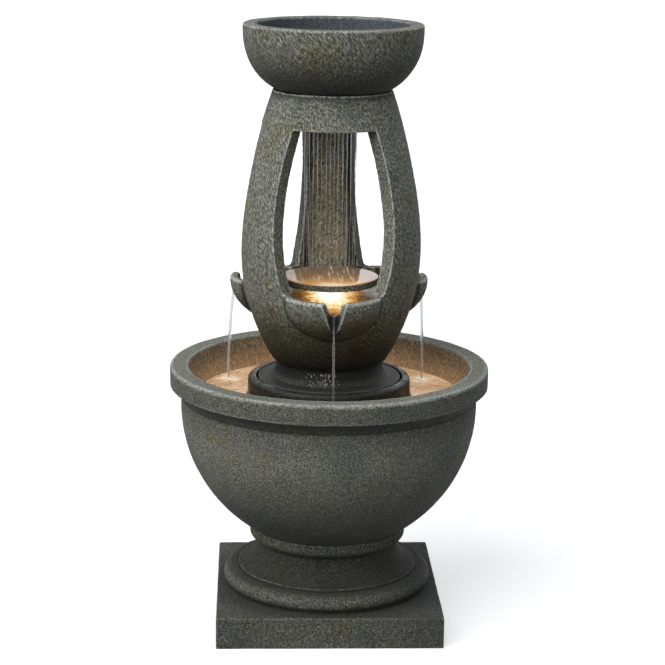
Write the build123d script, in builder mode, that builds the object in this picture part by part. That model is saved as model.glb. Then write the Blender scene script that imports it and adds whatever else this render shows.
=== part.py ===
# Bowl fountain in cast stone with its pump, hose and lamps.
# Sizes are in millimetres, +Z is up, the front spout points along -Y.

import math
import os

from build123d import *

os.makedirs("parts", exist_ok=True)

# Pedestal
PLINTH_WIDTH = 404.0
PLINTH_HEIGHT = 58.0
PLINTH_WALL = 20.0
PLINTH_EDGE = 3.0
TORUS_RADIUS = 190.0
TORUS_SECTION = 17.0
STEP_RADIUS = 163.0
STEP_HEIGHT = 4.0
NECK_RADIUS = 130.0
SCOTIA_HEIGHT = 47.0
SCOTIA_SAG = 12.0
COLLAR_RADIUS = 142.0
COLLAR_HEIGHT = 26.5
COLLAR_BAND = 7.0
COLLAR_STEP = 3.0
OVOLO_SAG = 4.0
COLLAR_BORE = 100.0
COLLAR_FLANGE = 17.5
PEDESTAL_BORE = 112.0
CABLE_NOTCH_RADIUS = 16.0

# Lower bowl
BOWL_RADIUS = 268.0
BOWL_FOOT_RADIUS = 140.0
BOWL_HEIGHT = 300.0
RIM_OVERHANG = 19.5
RIM_BAND = 36.0
RIM_CHAMFER = 21.0
RIM_COVE_SAG = 2.0
RIM_WIDTH = 34.0
RIM_EDGE = 5.0
THROAT_TAPER = 11.5
THROAT_DEPTH = 56.0
BOWL_INNER_SAG = 27.0
LEDGE_MARGIN = 6.0
LEDGE_HEIGHT = 32.0
SUMP_RADIUS = 118.0
FLOOR_THICKNESS = 20.5
SPIGOT_DEPTH = 9.5
SPIGOT_FIT = 0.5

# Pump riser
RISER_HEIGHT = 247.5
RISER_TOP_RADIUS = 146.5
RISER_FOOT_RADIUS = 158.0
RISER_WALL = 16.0
RISER_EDGE = 8.0
SEAT_DEPTH = 12.0
SEAT_BORE = 108.0
SEAT_THICKNESS = 14.0
ARCH_WIDTH = 60.0
ARCH_HEIGHT = 84.0
LEG_COUNT = 3

# Pool lamps on the riser
POOL_LAMP_DROP = 78.0
POOL_LAMP_RADIUS = 20.0
POOL_LAMP_LENGTH = 22.0
LAMP_PAD_SIZE = 44.0
LAMP_PAD_REACH = 164.0
LAMP_WALL = 3.0
LAMP_SHELF = 3.0
LAMP_BOARD = 1.6
LAMP_BOARD_FIT = 0.3
LAMP_LENS = 4.0
LAMP_SEAL = 1.0
LED_SIZE = 4.0
LED_HEIGHT = 1.6

# Cable grommet
GROMMET_RADIUS = 11.0
GROMMET_CIRCLE_RADIUS = 78.0
GROMMET_FLANGE = 16.0
GROMMET_HEAD = 4.0
GROMMET_FIT = 0.2
CABLE_RADIUS = 4.0

# Tower
FLANGE_RADIUS = 129.0
FLANGE_GAP = 2.5
FLANGE_EDGE = 3.0
DRUM_HEIGHT = 31.0
DRUM_FOOT_RADIUS = 106.0
DRUM_TOP_RADIUS = 95.0
DRUM_SAG = 3.0
EGG_RADIUS = 161.9
EGG_HEIGHT = 485.0
BELLY_HEIGHT = 210.0
BELLY_ARC = 395.0
FLANK_ARC = 520.0
FLANK_ANGLE = 10.0
SHOULDER_ARC = 1200.0
SHELL_WALL = 28.0
CROWN_THICKNESS = 61.0
CROWN_EDGE = 1.5
CROWN_LIP = 3.0
EGG_FOOT_EDGE = 8.0
LOBE_RIM_HEIGHT = 142.0
LOBE_CIRCLE_RADIUS = 104.0
LOBE_RADIUS = 90.0
LOBE_DEPTH = 83.0
LOBE_WALL = 14.0
LOBE_FLOOR = 24.0
LOBE_EDGE = 6.0
LOBE_LIP = 4.0
BASIN_DEPTH = 66.0
WINDOW_TOP_ANGLE = 34.8
WINDOW_MID_ANGLE = 41.0
WINDOW_FOOT_ANGLE = 33.5
WINDOW_CORNER_ANGLE = 6.0
WINDOW_HEAD_ANGLE = 2.0
WINDOW_NEAR = 40.0
WINDOW_FAR = 260.0
NOTCH_TOP = 21.0
NOTCH_FOOT = 12.0
NOTCH_DEPTH = 21.0
NOTCH_LENGTH = 28.0
NOTCH_EDGE = 4.0
GROOVE_WALL = 18.0
GROOVE_DROP = 62.0
GROOVE_FOOT = 7.0
GROOVE_RAKE = 4.0
GROOVE_FLARE = 31.0
GROOVE_FOOT_FLARE = 17.0

# Hose and spreader
TUBE_CIRCLE_RADIUS = 50.0
TUBE_RADIUS = 7.0
TUBE_WALL = 1.7
TUBE_BEND = 60.0
TUBE_CLEARANCE = 0.5
ELBOW_BEND = 24.0
ELBOW_DROP = 4.0
TUBE_TIP = 4.0
SPREADER_LENGTH = 108.0
SPREADER_DEPTH = 28.0
SPREADER_HEIGHT = 36.0
SPREADER_DROP = 6.0
SPREADER_WALL = 2.5
SPREADER_BACK = 82.0
SPREADER_FIT = 0.5
OUTLET_COUNT = 13
OUTLET_PITCH = 7.6
OUTLET_RADIUS = 2.6
OUTLET_BORE = 1.5
OUTLET_LENGTH = 6.0

# Splash dish, its post and ring lamp
DISH_RADIUS = 86.0
DISH_HEIGHT = 74.0
DISH_THICKNESS = 12.0
DISH_RIM = 5.0
DISH_RECESS = 3.0
DISH_EDGE = 3.0
DISH_BOSS_RADIUS = 18.0
DISH_BOSS = 12.0
DISH_FIT = 0.4
POST_RADIUS = 11.0
POST_FLANGE = 16.0
POST_FLANGE_HEIGHT = 4.0
RING_LAMP_RADIUS = 34.0
RING_LAMP_BORE = 17.0
RING_LAMP_HEIGHT = 37.0
RING_SHELF_DEPTH = 9.0
RING_LED_COUNT = 8

# Top bowl
TOP_BOWL_RADIUS = 159.0
TOP_BOWL_HEIGHT = 125.0
TOP_BOWL_BAND = 15.0
TOP_BOWL_WALL = 25.0
TOP_BOWL_FLOOR = 22.0
TOP_BOWL_FLAT = 50.0
TOP_BOWL_EDGE = 5.0
TOP_SEAT_DEPTH = 10.0
TOP_SEAT_GAP = 1.5
TOP_PAD_INSET = 2.0

# Pump
CUP_HEIGHT = 8.0
CUP_RADIUS = 9.0
CUP_NECK = 4.0
CUP_LIP = 2.0
CUP_HOLLOW = 3.0
CUP_SPREAD_X = 20.0
CUP_SPREAD_Y = 30.0
PUMP_WIDTH = 62.0
PUMP_HEIGHT = 56.0
PUMP_LENGTH = 84.0
PUMP_EDGE = 6.0
ROTOR_RADIUS = 9.5
ROTOR_LENGTH = 40.0
ROTOR_GAP = 1.5
SHAFT_RADIUS = 1.5
SHAFT_CLEARANCE = 0.08
BUSH_RADIUS = 4.5
BUSH_LENGTH = 5.0
BUSH_FIT = 0.1
VOLUTE_RADIUS = 24.0
VOLUTE_LENGTH = 26.0
VOLUTE_WALL = 4.0
VOLUTE_END = 7.0
INLET_COUNT = 4
INLET_RADIUS = 4.5
INLET_CIRCLE = 12.0
BOSS_RADIUS = 9.0
BOSS_HEIGHT = 12.0
WHEEL_RADIUS = 17.5
WHEEL_DISC = 2.0
WHEEL_GAP = 1.0
WHEEL_HUB = 5.0
BLADE_COUNT = 6
BLADE_HEIGHT = 11.0
BLADE_THICKNESS = 2.0
NOZZLE_RADIUS = 5.0
NOZZLE_BORE = 3.6
NOZZLE_FLANGE = 8.0
NOZZLE_FLANGE_HEIGHT = 3.0
NOZZLE_LENGTH = 28.0
NOZZLE_FIT = 0.1
NOZZLE_TUBE_GAP = 2.0
STRAINER_LENGTH = 52.0
STRAINER_WALL = 2.5
STRAINER_SLOTS = 6
SLOT_WIDTH = 3.0
SLOT_LENGTH = 32.0
SLOT_PITCH = 7.0
BOSS_SLOT_FIT = 0.6
DIAL_RADIUS = 17.0
DIAL_THICKNESS = 3.0
DIAL_GAP = 0.3
DIAL_STUB = 3.0
DIAL_CLEARANCE = 0.08
DIAL_GRIP_WIDTH = 4.0
DIAL_GRIP_HEIGHT = 5.0
DIAL_PORT_COUNT = 3
DIAL_PORT_RADIUS = 4.5
DIAL_PORT_CIRCLE = 10.5

# Heights of the stack, worked out from the sizes above
torus_top = PLINTH_HEIGHT + 2 * TORUS_SECTION
step_top = torus_top + STEP_HEIGHT
scotia_top = step_top + SCOTIA_HEIGHT
bowl_seat = scotia_top + COLLAR_HEIGHT
bowl_centre = bowl_seat + math.sqrt(BOWL_RADIUS**2 - BOWL_FOOT_RADIUS**2)
rim_radius = BOWL_RADIUS + RIM_OVERHANG
rim_inner = rim_radius - RIM_WIDTH
throat_radius = rim_inner - THROAT_TAPER
ledge_radius = RISER_FOOT_RADIUS + LEDGE_MARGIN
rim_top = bowl_seat + BOWL_HEIGHT
band_base = rim_top - RIM_BAND
chamfer_base = band_base - RIM_CHAMFER
chamfer_radius = math.sqrt(BOWL_RADIUS**2 - (bowl_centre - chamfer_base) ** 2)
throat = rim_top - THROAT_DEPTH
ledge = bowl_seat + LEDGE_HEIGHT
sump = bowl_seat + FLOOR_THICKNESS
riser_top = ledge + RISER_HEIGHT
tower_seat = riser_top - SEAT_DEPTH
egg_base = riser_top + DRUM_HEIGHT
belly = egg_base + BELLY_HEIGHT
crown_top = egg_base + EGG_HEIGHT
ceiling = crown_top - CROWN_THICKNESS
lobe_rim = egg_base + LOBE_RIM_HEIGHT
basin_floor = lobe_rim - BASIN_DEPTH
dish_top = basin_floor + DISH_HEIGHT
dish_base = dish_top - DISH_THICKNESS
top_seat = crown_top - TOP_SEAT_DEPTH
top_rim = top_seat + TOP_BOWL_HEIGHT
top_band = top_rim - TOP_BOWL_BAND

# Egg outline: three tangent arcs, belly, flank and shoulder
flank_turn = math.radians(FLANK_ANGLE)
belly_x = EGG_RADIUS - BELLY_ARC
flank_x = EGG_RADIUS - FLANK_ARC
shoulder_x = flank_x + (FLANK_ARC - SHOULDER_ARC) * math.cos(flank_turn)
shoulder_z = belly + (FLANK_ARC - SHOULDER_ARC) * math.sin(flank_turn)


def belly_angle(z, inset):
    return math.degrees(math.asin((belly - z) / (BELLY_ARC - inset)))


def shoulder_angle(z, inset):
    return math.degrees(math.asin((z - shoulder_z) / (SHOULDER_ARC - inset)))


def belly_radius(z, inset):
    return belly_x + math.sqrt((BELLY_ARC - inset) ** 2 - (belly - z) ** 2)


def shoulder_radius(z, inset):
    return shoulder_x + math.sqrt((SHOULDER_ARC - inset) ** 2 - (z - shoulder_z) ** 2)


# Pedestal: square plinth with torus, scotia and collar, hollow from below
with BuildPart() as pedestal:
    with BuildSketch():
        Rectangle(PLINTH_WIDTH, PLINTH_WIDTH)
    extrude(amount=PLINTH_HEIGHT)
    fillet(pedestal.edges().filter_by(Axis.Z) + pedestal.edges().group_by(Axis.Z)[-1], PLINTH_EDGE)
    with BuildSketch(Plane.XZ):
        with BuildLine():
            Line((0, PLINTH_HEIGHT), (TORUS_RADIUS - TORUS_SECTION, PLINTH_HEIGHT))
            torus_centre = (TORUS_RADIUS - TORUS_SECTION, PLINTH_HEIGHT + TORUS_SECTION)
            CenterArc(torus_centre, TORUS_SECTION, -90, 180)
            Line((TORUS_RADIUS - TORUS_SECTION, torus_top), (STEP_RADIUS, torus_top))
            Line((STEP_RADIUS, torus_top), (STEP_RADIUS, step_top))
            SagittaArc((STEP_RADIUS, step_top), (NECK_RADIUS, scotia_top), SCOTIA_SAG)
            Line((NECK_RADIUS, scotia_top), (NECK_RADIUS + COLLAR_STEP, scotia_top))
            collar_band = (COLLAR_RADIUS, bowl_seat - COLLAR_BAND)
            SagittaArc((NECK_RADIUS + COLLAR_STEP, scotia_top), collar_band, -OVOLO_SAG)
            Line(collar_band, (COLLAR_RADIUS, bowl_seat))
            Line((COLLAR_RADIUS, bowl_seat), (0, bowl_seat))
            Line((0, bowl_seat), (0, PLINTH_HEIGHT))
        make_face()
    revolve(axis=Axis.Z)
    with BuildSketch():
        Rectangle(PLINTH_WIDTH - 2 * PLINTH_WALL, PLINTH_WIDTH - 2 * PLINTH_WALL)
    extrude(amount=PLINTH_HEIGHT - PLINTH_WALL, mode=Mode.SUBTRACT)
    with BuildSketch():
        Circle(PEDESTAL_BORE)
    extrude(amount=bowl_seat - COLLAR_FLANGE, mode=Mode.SUBTRACT)
    with BuildSketch():
        Circle(COLLAR_BORE)
    extrude(amount=bowl_seat, mode=Mode.SUBTRACT)
    with Locations((0, PLINTH_WIDTH / 2, 0)):
        Cylinder(CABLE_NOTCH_RADIUS, 3 * PLINTH_WALL, rotation=(90, 0, 0), mode=Mode.SUBTRACT)

# Lower bowl: round bowl with a banded rim, a ledge for the riser and a sump for the pump
with BuildPart() as lower_bowl:
    with BuildSketch(Plane.XZ):
        with BuildLine():
            spigot_radius = COLLAR_BORE - SPIGOT_FIT
            Line((0, bowl_seat - SPIGOT_DEPTH), (spigot_radius, bowl_seat - SPIGOT_DEPTH))
            Line((spigot_radius, bowl_seat - SPIGOT_DEPTH), (spigot_radius, bowl_seat))
            Line((spigot_radius, bowl_seat), (BOWL_FOOT_RADIUS, bowl_seat))
            foot_angle = math.degrees(math.acos(BOWL_FOOT_RADIUS / BOWL_RADIUS))
            rim_angle = math.degrees(math.asin((bowl_centre - chamfer_base) / BOWL_RADIUS))
            CenterArc((0, bowl_centre), BOWL_RADIUS, -foot_angle, foot_angle - rim_angle)
            SagittaArc((chamfer_radius, chamfer_base), (rim_radius, band_base), RIM_COVE_SAG)
            Line((rim_radius, band_base), (rim_radius, rim_top))
            Line((rim_radius, rim_top), (rim_inner, rim_top))
            Line((rim_inner, rim_top), (throat_radius, throat))
            SagittaArc((throat_radius, throat), (ledge_radius, ledge), BOWL_INNER_SAG)
            Line((ledge_radius, ledge), (SUMP_RADIUS, ledge))
            Line((SUMP_RADIUS, ledge), (SUMP_RADIUS, sump))
            Line((SUMP_RADIUS, sump), (0, sump))
            Line((0, sump), (0, bowl_seat - SPIGOT_DEPTH))
        make_face()
    revolve(axis=Axis.Z)
    fillet(lower_bowl.edges().filter_by(GeomType.CIRCLE).group_by(Axis.Z)[-1], RIM_EDGE)
    with Locations((0, -GROMMET_CIRCLE_RADIUS, sump)):
        Cylinder(GROMMET_RADIUS, 4 * FLOOR_THICKNESS, mode=Mode.SUBTRACT)

# Cable grommet in the bowl floor
with BuildPart() as cable_grommet:
    with Locations((0, -GROMMET_CIRCLE_RADIUS, sump)):
        Cylinder(GROMMET_FLANGE, GROMMET_HEAD, align=(Align.CENTER, Align.CENTER, Align.MIN))
        Cylinder(
            GROMMET_RADIUS - GROMMET_FIT,
            FLOOR_THICKNESS + SPIGOT_DEPTH,
            align=(Align.CENTER, Align.CENTER, Align.MAX),
        )
        Cylinder(CABLE_RADIUS, 4 * FLOOR_THICKNESS, mode=Mode.SUBTRACT)

# Arched water inlet, cut three times round the foot of the riser
with BuildPart() as arch_cutter:
    with BuildSketch(Plane.XZ):
        with Locations((0, ledge)):
            Rectangle(ARCH_WIDTH, 2 * (ARCH_HEIGHT - ARCH_WIDTH / 2))
        with Locations((0, ledge + ARCH_HEIGHT - ARCH_WIDTH / 2)):
            Circle(ARCH_WIDTH / 2)
    extrude(amount=2 * RISER_FOOT_RADIUS)

# Riser: hollow stand that carries the tower and houses the pump
lamp_z = riser_top - POOL_LAMP_DROP
seat_radius = FLANGE_RADIUS + FLANGE_GAP
with BuildPart() as pump_riser:
    with BuildSketch(Plane.XZ):
        with BuildLine():
            Polyline(
                (RISER_FOOT_RADIUS, ledge),
                (RISER_TOP_RADIUS, riser_top),
                (seat_radius, riser_top),
                (seat_radius, tower_seat),
                (SEAT_BORE, tower_seat),
                (SEAT_BORE, tower_seat - SEAT_THICKNESS),
                (RISER_TOP_RADIUS - RISER_WALL, tower_seat - SEAT_THICKNESS),
                (RISER_FOOT_RADIUS - RISER_WALL, ledge),
                close=True,
            )
        make_face()
    revolve(axis=Axis.Z)
    fillet(pump_riser.edges().group_by(Axis.Z)[-1].sort_by(SortBy.RADIUS)[-1], RISER_EDGE)
    pad_inner = RISER_TOP_RADIUS
    for side in (-1, 1):
        with Locations((side * (pad_inner + LAMP_PAD_REACH) / 2, 0, lamp_z)):
            Box(LAMP_PAD_REACH - pad_inner, LAMP_PAD_SIZE, LAMP_PAD_SIZE)
    with PolarLocations(0, LEG_COUNT, start_angle=180 / LEG_COUNT):
        add(arch_cutter.part, mode=Mode.SUBTRACT)

# Pool lamps: two round spots on the riser pads, facing the bowl wall
left_lamp = Plane(origin=(-LAMP_PAD_REACH, 0, lamp_z), z_dir=(-1, 0, 0))
right_lamp = Plane(origin=(LAMP_PAD_REACH, 0, lamp_z), z_dir=(1, 0, 0))
lamp_bore = POOL_LAMP_RADIUS - LAMP_WALL
board_rest = POOL_LAMP_LENGTH / 2
with BuildPart(left_lamp, right_lamp) as pool_lamp_housings:
    Cylinder(POOL_LAMP_RADIUS, POOL_LAMP_LENGTH, align=(Align.CENTER, Align.CENTER, Align.MIN))
    with Locations((0, 0, board_rest)):
        Cylinder(
            lamp_bore,
            POOL_LAMP_LENGTH,
            align=(Align.CENTER, Align.CENTER, Align.MIN),
            mode=Mode.SUBTRACT,
        )
    with Locations((0, 0, LAMP_WALL)):
        Cylinder(
            lamp_bore - LAMP_SHELF,
            POOL_LAMP_LENGTH,
            align=(Align.CENTER, Align.CENTER, Align.MIN),
            mode=Mode.SUBTRACT,
        )

with BuildPart(left_lamp, right_lamp) as pool_lamp_boards:
    with Locations((0, 0, board_rest)):
        Cylinder(
            lamp_bore - LAMP_BOARD_FIT,
            LAMP_BOARD,
            align=(Align.CENTER, Align.CENTER, Align.MIN),
        )
    with Locations((0, 0, board_rest + LAMP_BOARD)):
        Cylinder(LED_SIZE, LED_HEIGHT, align=(Align.CENTER, Align.CENTER, Align.MIN))

with BuildPart(left_lamp, right_lamp) as pool_lamp_lenses:
    with Locations((0, 0, POOL_LAMP_LENGTH)):
        Cylinder(POOL_LAMP_RADIUS, LAMP_LENS, align=(Align.CENTER, Align.CENTER, Align.MIN))
    fillet(pool_lamp_lenses.edges().filter_by(GeomType.CIRCLE).group_by(SortBy.RADIUS)[-1], LAMP_WALL / 3)

# Pump, laid along Y in the sump with its outlet under the hose
pump_axis = sump + CUP_HEIGHT + PUMP_HEIGHT / 2
pump_face = TUBE_CIRCLE_RADIUS - VOLUTE_LENGTH / 2
pump_plane = Plane(origin=(0, pump_face, pump_axis), x_dir=(1, 0, 0), z_dir=(0, 1, 0))
well_depth = ROTOR_LENGTH + ROTOR_GAP
chamber_radius = VOLUTE_RADIUS - VOLUTE_WALL
chamber_length = VOLUTE_LENGTH - VOLUTE_END
boss_top = pump_axis + VOLUTE_RADIUS + BOSS_HEIGHT

with BuildPart(pump_plane) as pump_body:
    Box(PUMP_WIDTH, PUMP_HEIGHT, PUMP_LENGTH, align=(Align.CENTER, Align.CENTER, Align.MAX))
    fillet(pump_body.edges().filter_by(Axis.Y), PUMP_EDGE)
    fillet(pump_body.edges().group_by(Axis.Y)[0], PUMP_EDGE / 2)
    Cylinder(
        ROTOR_RADIUS + ROTOR_GAP,
        well_depth,
        align=(Align.CENTER, Align.CENTER, Align.MAX),
        mode=Mode.SUBTRACT,
    )
    with Locations((0, 0, -well_depth)):
        Cylinder(
            BUSH_RADIUS + BUSH_FIT,
            BUSH_LENGTH,
            align=(Align.CENTER, Align.CENTER, Align.MAX),
            mode=Mode.SUBTRACT,
        )

with BuildPart(pump_plane) as pump_volute:
    Cylinder(VOLUTE_RADIUS, VOLUTE_LENGTH, align=(Align.CENTER, Align.CENTER, Align.MIN))
    with Locations((0, 0, VOLUTE_LENGTH / 2)):
        Cylinder(
            BOSS_RADIUS,
            VOLUTE_RADIUS + BOSS_HEIGHT,
            rotation=(90, 0, 0),
            align=(Align.CENTER, Align.CENTER, Align.MIN),
        )
    Cylinder(
        chamber_radius,
        chamber_length,
        align=(Align.CENTER, Align.CENTER, Align.MIN),
        mode=Mode.SUBTRACT,
    )
    with Locations((0, 0, VOLUTE_LENGTH / 2)):
        Cylinder(
            NOZZLE_RADIUS + NOZZLE_FIT,
            2 * VOLUTE_RADIUS + BOSS_HEIGHT,
            rotation=(90, 0, 0),
            align=(Align.CENTER, Align.CENTER, Align.MIN),
            mode=Mode.SUBTRACT,
        )
    with PolarLocations(INLET_CIRCLE, INLET_COUNT):
        Cylinder(INLET_RADIUS, 3 * VOLUTE_LENGTH, mode=Mode.SUBTRACT)
    with Locations((0, 0, chamber_length)):
        Cylinder(
            BUSH_RADIUS + BUSH_FIT,
            BUSH_LENGTH,
            align=(Align.CENTER, Align.CENTER, Align.MIN),
            mode=Mode.SUBTRACT,
        )

with BuildPart(pump_plane) as impeller_shaft:
    with Locations((0, 0, -well_depth - BUSH_LENGTH)):
        Cylinder(
            SHAFT_RADIUS,
            well_depth + chamber_length + 2 * BUSH_LENGTH,
            align=(Align.CENTER, Align.CENTER, Align.MIN),
        )

with BuildPart(pump_plane) as shaft_bushes:
    with Locations((0, 0, -well_depth)):
        Cylinder(BUSH_RADIUS, BUSH_LENGTH, align=(Align.CENTER, Align.CENTER, Align.MAX))
    with Locations((0, 0, chamber_length)):
        Cylinder(BUSH_RADIUS, BUSH_LENGTH, align=(Align.CENTER, Align.CENTER, Align.MIN))
    Cylinder(SHAFT_RADIUS, 4 * well_depth, mode=Mode.SUBTRACT)

with BuildPart(pump_plane) as impeller:
    Cylinder(ROTOR_RADIUS, ROTOR_LENGTH, align=(Align.CENTER, Align.CENTER, Align.MAX))
    Cylinder(WHEEL_HUB, WHEEL_GAP + WHEEL_DISC + BLADE_HEIGHT, align=(Align.CENTER, Align.CENTER, Align.MIN))
    with Locations((0, 0, WHEEL_GAP)):
        Cylinder(WHEEL_RADIUS, WHEEL_DISC, align=(Align.CENTER, Align.CENTER, Align.MIN))
    with PolarLocations(WHEEL_RADIUS / 2, BLADE_COUNT):
        with Locations((0, 0, WHEEL_GAP + WHEEL_DISC)):
            Box(
                WHEEL_RADIUS,
                BLADE_THICKNESS,
                BLADE_HEIGHT,
                align=(Align.CENTER, Align.CENTER, Align.MIN),
            )
    Cylinder(SHAFT_RADIUS + SHAFT_CLEARANCE, 4 * ROTOR_LENGTH, mode=Mode.SUBTRACT)

with BuildPart(Plane.XY.offset(boss_top)) as outlet_nozzle:
    with Locations((0, TUBE_CIRCLE_RADIUS)):
        Cylinder(NOZZLE_FLANGE, NOZZLE_FLANGE_HEIGHT, align=(Align.CENTER, Align.CENTER, Align.MIN))
        Cylinder(
            NOZZLE_RADIUS,
            NOZZLE_FLANGE_HEIGHT + NOZZLE_LENGTH,
            align=(Align.CENTER, Align.CENTER, Align.MIN),
        )
        Cylinder(NOZZLE_RADIUS, BOSS_HEIGHT, align=(Align.CENTER, Align.CENTER, Align.MAX))
        Cylinder(NOZZLE_BORE, 4 * NOZZLE_LENGTH, mode=Mode.SUBTRACT)

with BuildPart(pump_plane) as pump_strainer:
    Box(PUMP_WIDTH, PUMP_HEIGHT, STRAINER_LENGTH, align=(Align.CENTER, Align.CENTER, Align.MIN))
    fillet(pump_strainer.edges().filter_by(Axis.Y), PUMP_EDGE)
    Box(
        PUMP_WIDTH - 2 * STRAINER_WALL,
        PUMP_HEIGHT - 2 * STRAINER_WALL,
        STRAINER_LENGTH - STRAINER_WALL,
        align=(Align.CENTER, Align.CENTER, Align.MIN),
        mode=Mode.SUBTRACT,
    )
    with Locations((0, 0, STRAINER_LENGTH / 2)):
        with GridLocations(0, SLOT_PITCH, 1, STRAINER_SLOTS):
            Box(2 * PUMP_WIDTH, SLOT_WIDTH, SLOT_LENGTH, mode=Mode.SUBTRACT)
    with PolarLocations(DIAL_PORT_CIRCLE, DIAL_PORT_COUNT):
        Cylinder(DIAL_PORT_RADIUS, 3 * STRAINER_LENGTH, mode=Mode.SUBTRACT)
    Cylinder(DIAL_STUB + DIAL_CLEARANCE, 3 * STRAINER_LENGTH, mode=Mode.SUBTRACT)
    with Locations((0, 0, VOLUTE_LENGTH / 2)):
        Cylinder(
            BOSS_RADIUS + BOSS_SLOT_FIT,
            PUMP_HEIGHT,
            rotation=(90, 0, 0),
            align=(Align.CENTER, Align.CENTER, Align.MIN),
            mode=Mode.SUBTRACT,
        )
        with Locations((0, -PUMP_HEIGHT / 2, 0)):
            Box(
                2 * (BOSS_RADIUS + BOSS_SLOT_FIT),
                3 * STRAINER_WALL,
                VOLUTE_LENGTH,
                align=(Align.CENTER, Align.CENTER, Align.MAX),
                mode=Mode.SUBTRACT,
            )

with BuildPart(pump_plane) as flow_dial:
    with Locations((0, 0, STRAINER_LENGTH + DIAL_GAP)):
        Cylinder(DIAL_RADIUS, DIAL_THICKNESS, align=(Align.CENTER, Align.CENTER, Align.MIN))
        with PolarLocations(DIAL_PORT_CIRCLE, DIAL_PORT_COUNT):
            Cylinder(DIAL_PORT_RADIUS, 3 * DIAL_THICKNESS, mode=Mode.SUBTRACT)
        Cylinder(DIAL_STUB, STRAINER_WALL + DIAL_GAP, align=(Align.CENTER, Align.CENTER, Align.MAX))
    with Locations((0, 0, STRAINER_LENGTH + DIAL_GAP + DIAL_THICKNESS)):
        Cylinder(DIAL_GRIP_WIDTH, DIAL_GRIP_HEIGHT, align=(Align.CENTER, Align.CENTER, Align.MIN))
        Box(
            DIAL_GRIP_WIDTH,
            DIAL_RADIUS,
            DIAL_GRIP_HEIGHT,
            align=(Align.CENTER, Align.MIN, Align.MIN),
        )

# Suction cups under the pump, one shape set at four places
with BuildPart() as suction_cup:
    with BuildSketch(Plane.XZ):
        with BuildLine():
            Polyline(
                (0, CUP_HOLLOW),
                (CUP_RADIUS - CUP_LIP, 0),
                (CUP_RADIUS, 0),
                (CUP_NECK, CUP_HEIGHT),
                (0, CUP_HEIGHT),
                close=True,
            )
        make_face()
    revolve(axis=Axis.Z)

with BuildPart(Plane.XY.offset(sump)) as suction_cups:
    with Locations((0, pump_face - PUMP_LENGTH / 2)):
        with GridLocations(2 * CUP_SPREAD_X, 2 * CUP_SPREAD_Y, 2, 2):
            add(suction_cup.part)

# Hose route in the YZ plane: up from the pump, along the middle of the back leg, into the crown
leg_inset = SHELL_WALL / 2
leg_arc = BELLY_ARC - leg_inset
bend_x = TUBE_CIRCLE_RADIUS + TUBE_BEND
bend_z = belly - math.sqrt((leg_arc + TUBE_BEND) ** 2 - (bend_x - belly_x) ** 2)
bend_turn = math.degrees(math.atan2(belly - bend_z, bend_x - belly_x))
tube_start = boss_top + NOZZLE_FLANGE_HEIGHT + NOZZLE_TUBE_GAP
elbow_start = ceiling - ELBOW_DROP
elbow_turn = shoulder_angle(elbow_start, leg_inset)
elbow_radius = SHOULDER_ARC - leg_inset - ELBOW_BEND
elbow_x = shoulder_x + elbow_radius * math.cos(math.radians(elbow_turn))
elbow_z = shoulder_z + elbow_radius * math.sin(math.radians(elbow_turn))
tube_end = SPREADER_BACK - TUBE_TIP
with BuildLine(Plane.YZ) as hose_route:
    Line((TUBE_CIRCLE_RADIUS, tube_start), (TUBE_CIRCLE_RADIUS, bend_z))
    CenterArc((bend_x, bend_z), TUBE_BEND, 180, -bend_turn)
    CenterArc((belly_x, belly), leg_arc, -bend_turn, bend_turn)
    CenterArc((flank_x, belly), FLANK_ARC - leg_inset, 0, FLANK_ANGLE)
    CenterArc((shoulder_x, shoulder_z), SHOULDER_ARC - leg_inset, FLANK_ANGLE, elbow_turn - FLANK_ANGLE)
    CenterArc((elbow_x, elbow_z), ELBOW_BEND, elbow_turn, 90 - elbow_turn)
    Line((elbow_x, elbow_z + ELBOW_BEND), (tube_end, elbow_z + ELBOW_BEND))
hose_z = elbow_z + ELBOW_BEND
hose_foot = Plane(origin=(0, TUBE_CIRCLE_RADIUS, tube_start), z_dir=(0, 0, 1))

with BuildPart() as riser_tube:
    with BuildSketch(hose_foot):
        Circle(TUBE_RADIUS)
        Circle(TUBE_RADIUS - TUBE_WALL, mode=Mode.SUBTRACT)
    sweep(path=hose_route.wires()[0])

with BuildPart() as hose_channel:
    with BuildSketch(hose_foot):
        Circle(TUBE_RADIUS + TUBE_CLEARANCE)
    sweep(path=hose_route.wires()[0])

# Lobe of the tower basin: half of a flattened ball, and its hollow
with BuildPart() as lobe:
    with BuildSketch(Plane.XZ):
        with BuildLine():
            lip_base = lobe_rim - LOBE_EDGE
            lobe_drop = LOBE_DEPTH - LOBE_EDGE
            EllipticalCenterArc((0, lip_base), LOBE_RADIUS, lobe_drop, start_angle=-90, arc_size=90)
            CenterArc((LOBE_RADIUS - LOBE_EDGE, lip_base), LOBE_EDGE, 0, 90)
            Line((LOBE_RADIUS - LOBE_EDGE, lobe_rim), (0, lobe_rim))
            Line((0, lobe_rim), (0, lobe_rim - LOBE_DEPTH))
        make_face()
    revolve(axis=Axis.Z)

with BuildPart() as lobe_hollow:
    with BuildSketch(Plane.XZ):
        with BuildLine():
            hollow_radius = LOBE_RADIUS - LOBE_WALL
            hollow_depth = LOBE_DEPTH - LOBE_FLOOR
            lip_base = lobe_rim - LOBE_LIP
            hollow_drop = hollow_depth - LOBE_LIP
            EllipticalCenterArc((0, lip_base), hollow_radius, hollow_drop, start_angle=-90, arc_size=90)
            CenterArc((hollow_radius + LOBE_LIP, lip_base), LOBE_LIP, 180, -90)
            Line((hollow_radius + LOBE_LIP, lobe_rim), (0, lobe_rim))
            Line((0, lobe_rim), (0, lobe_rim - hollow_depth))
        make_face()
    revolve(axis=Axis.Z)

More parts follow.
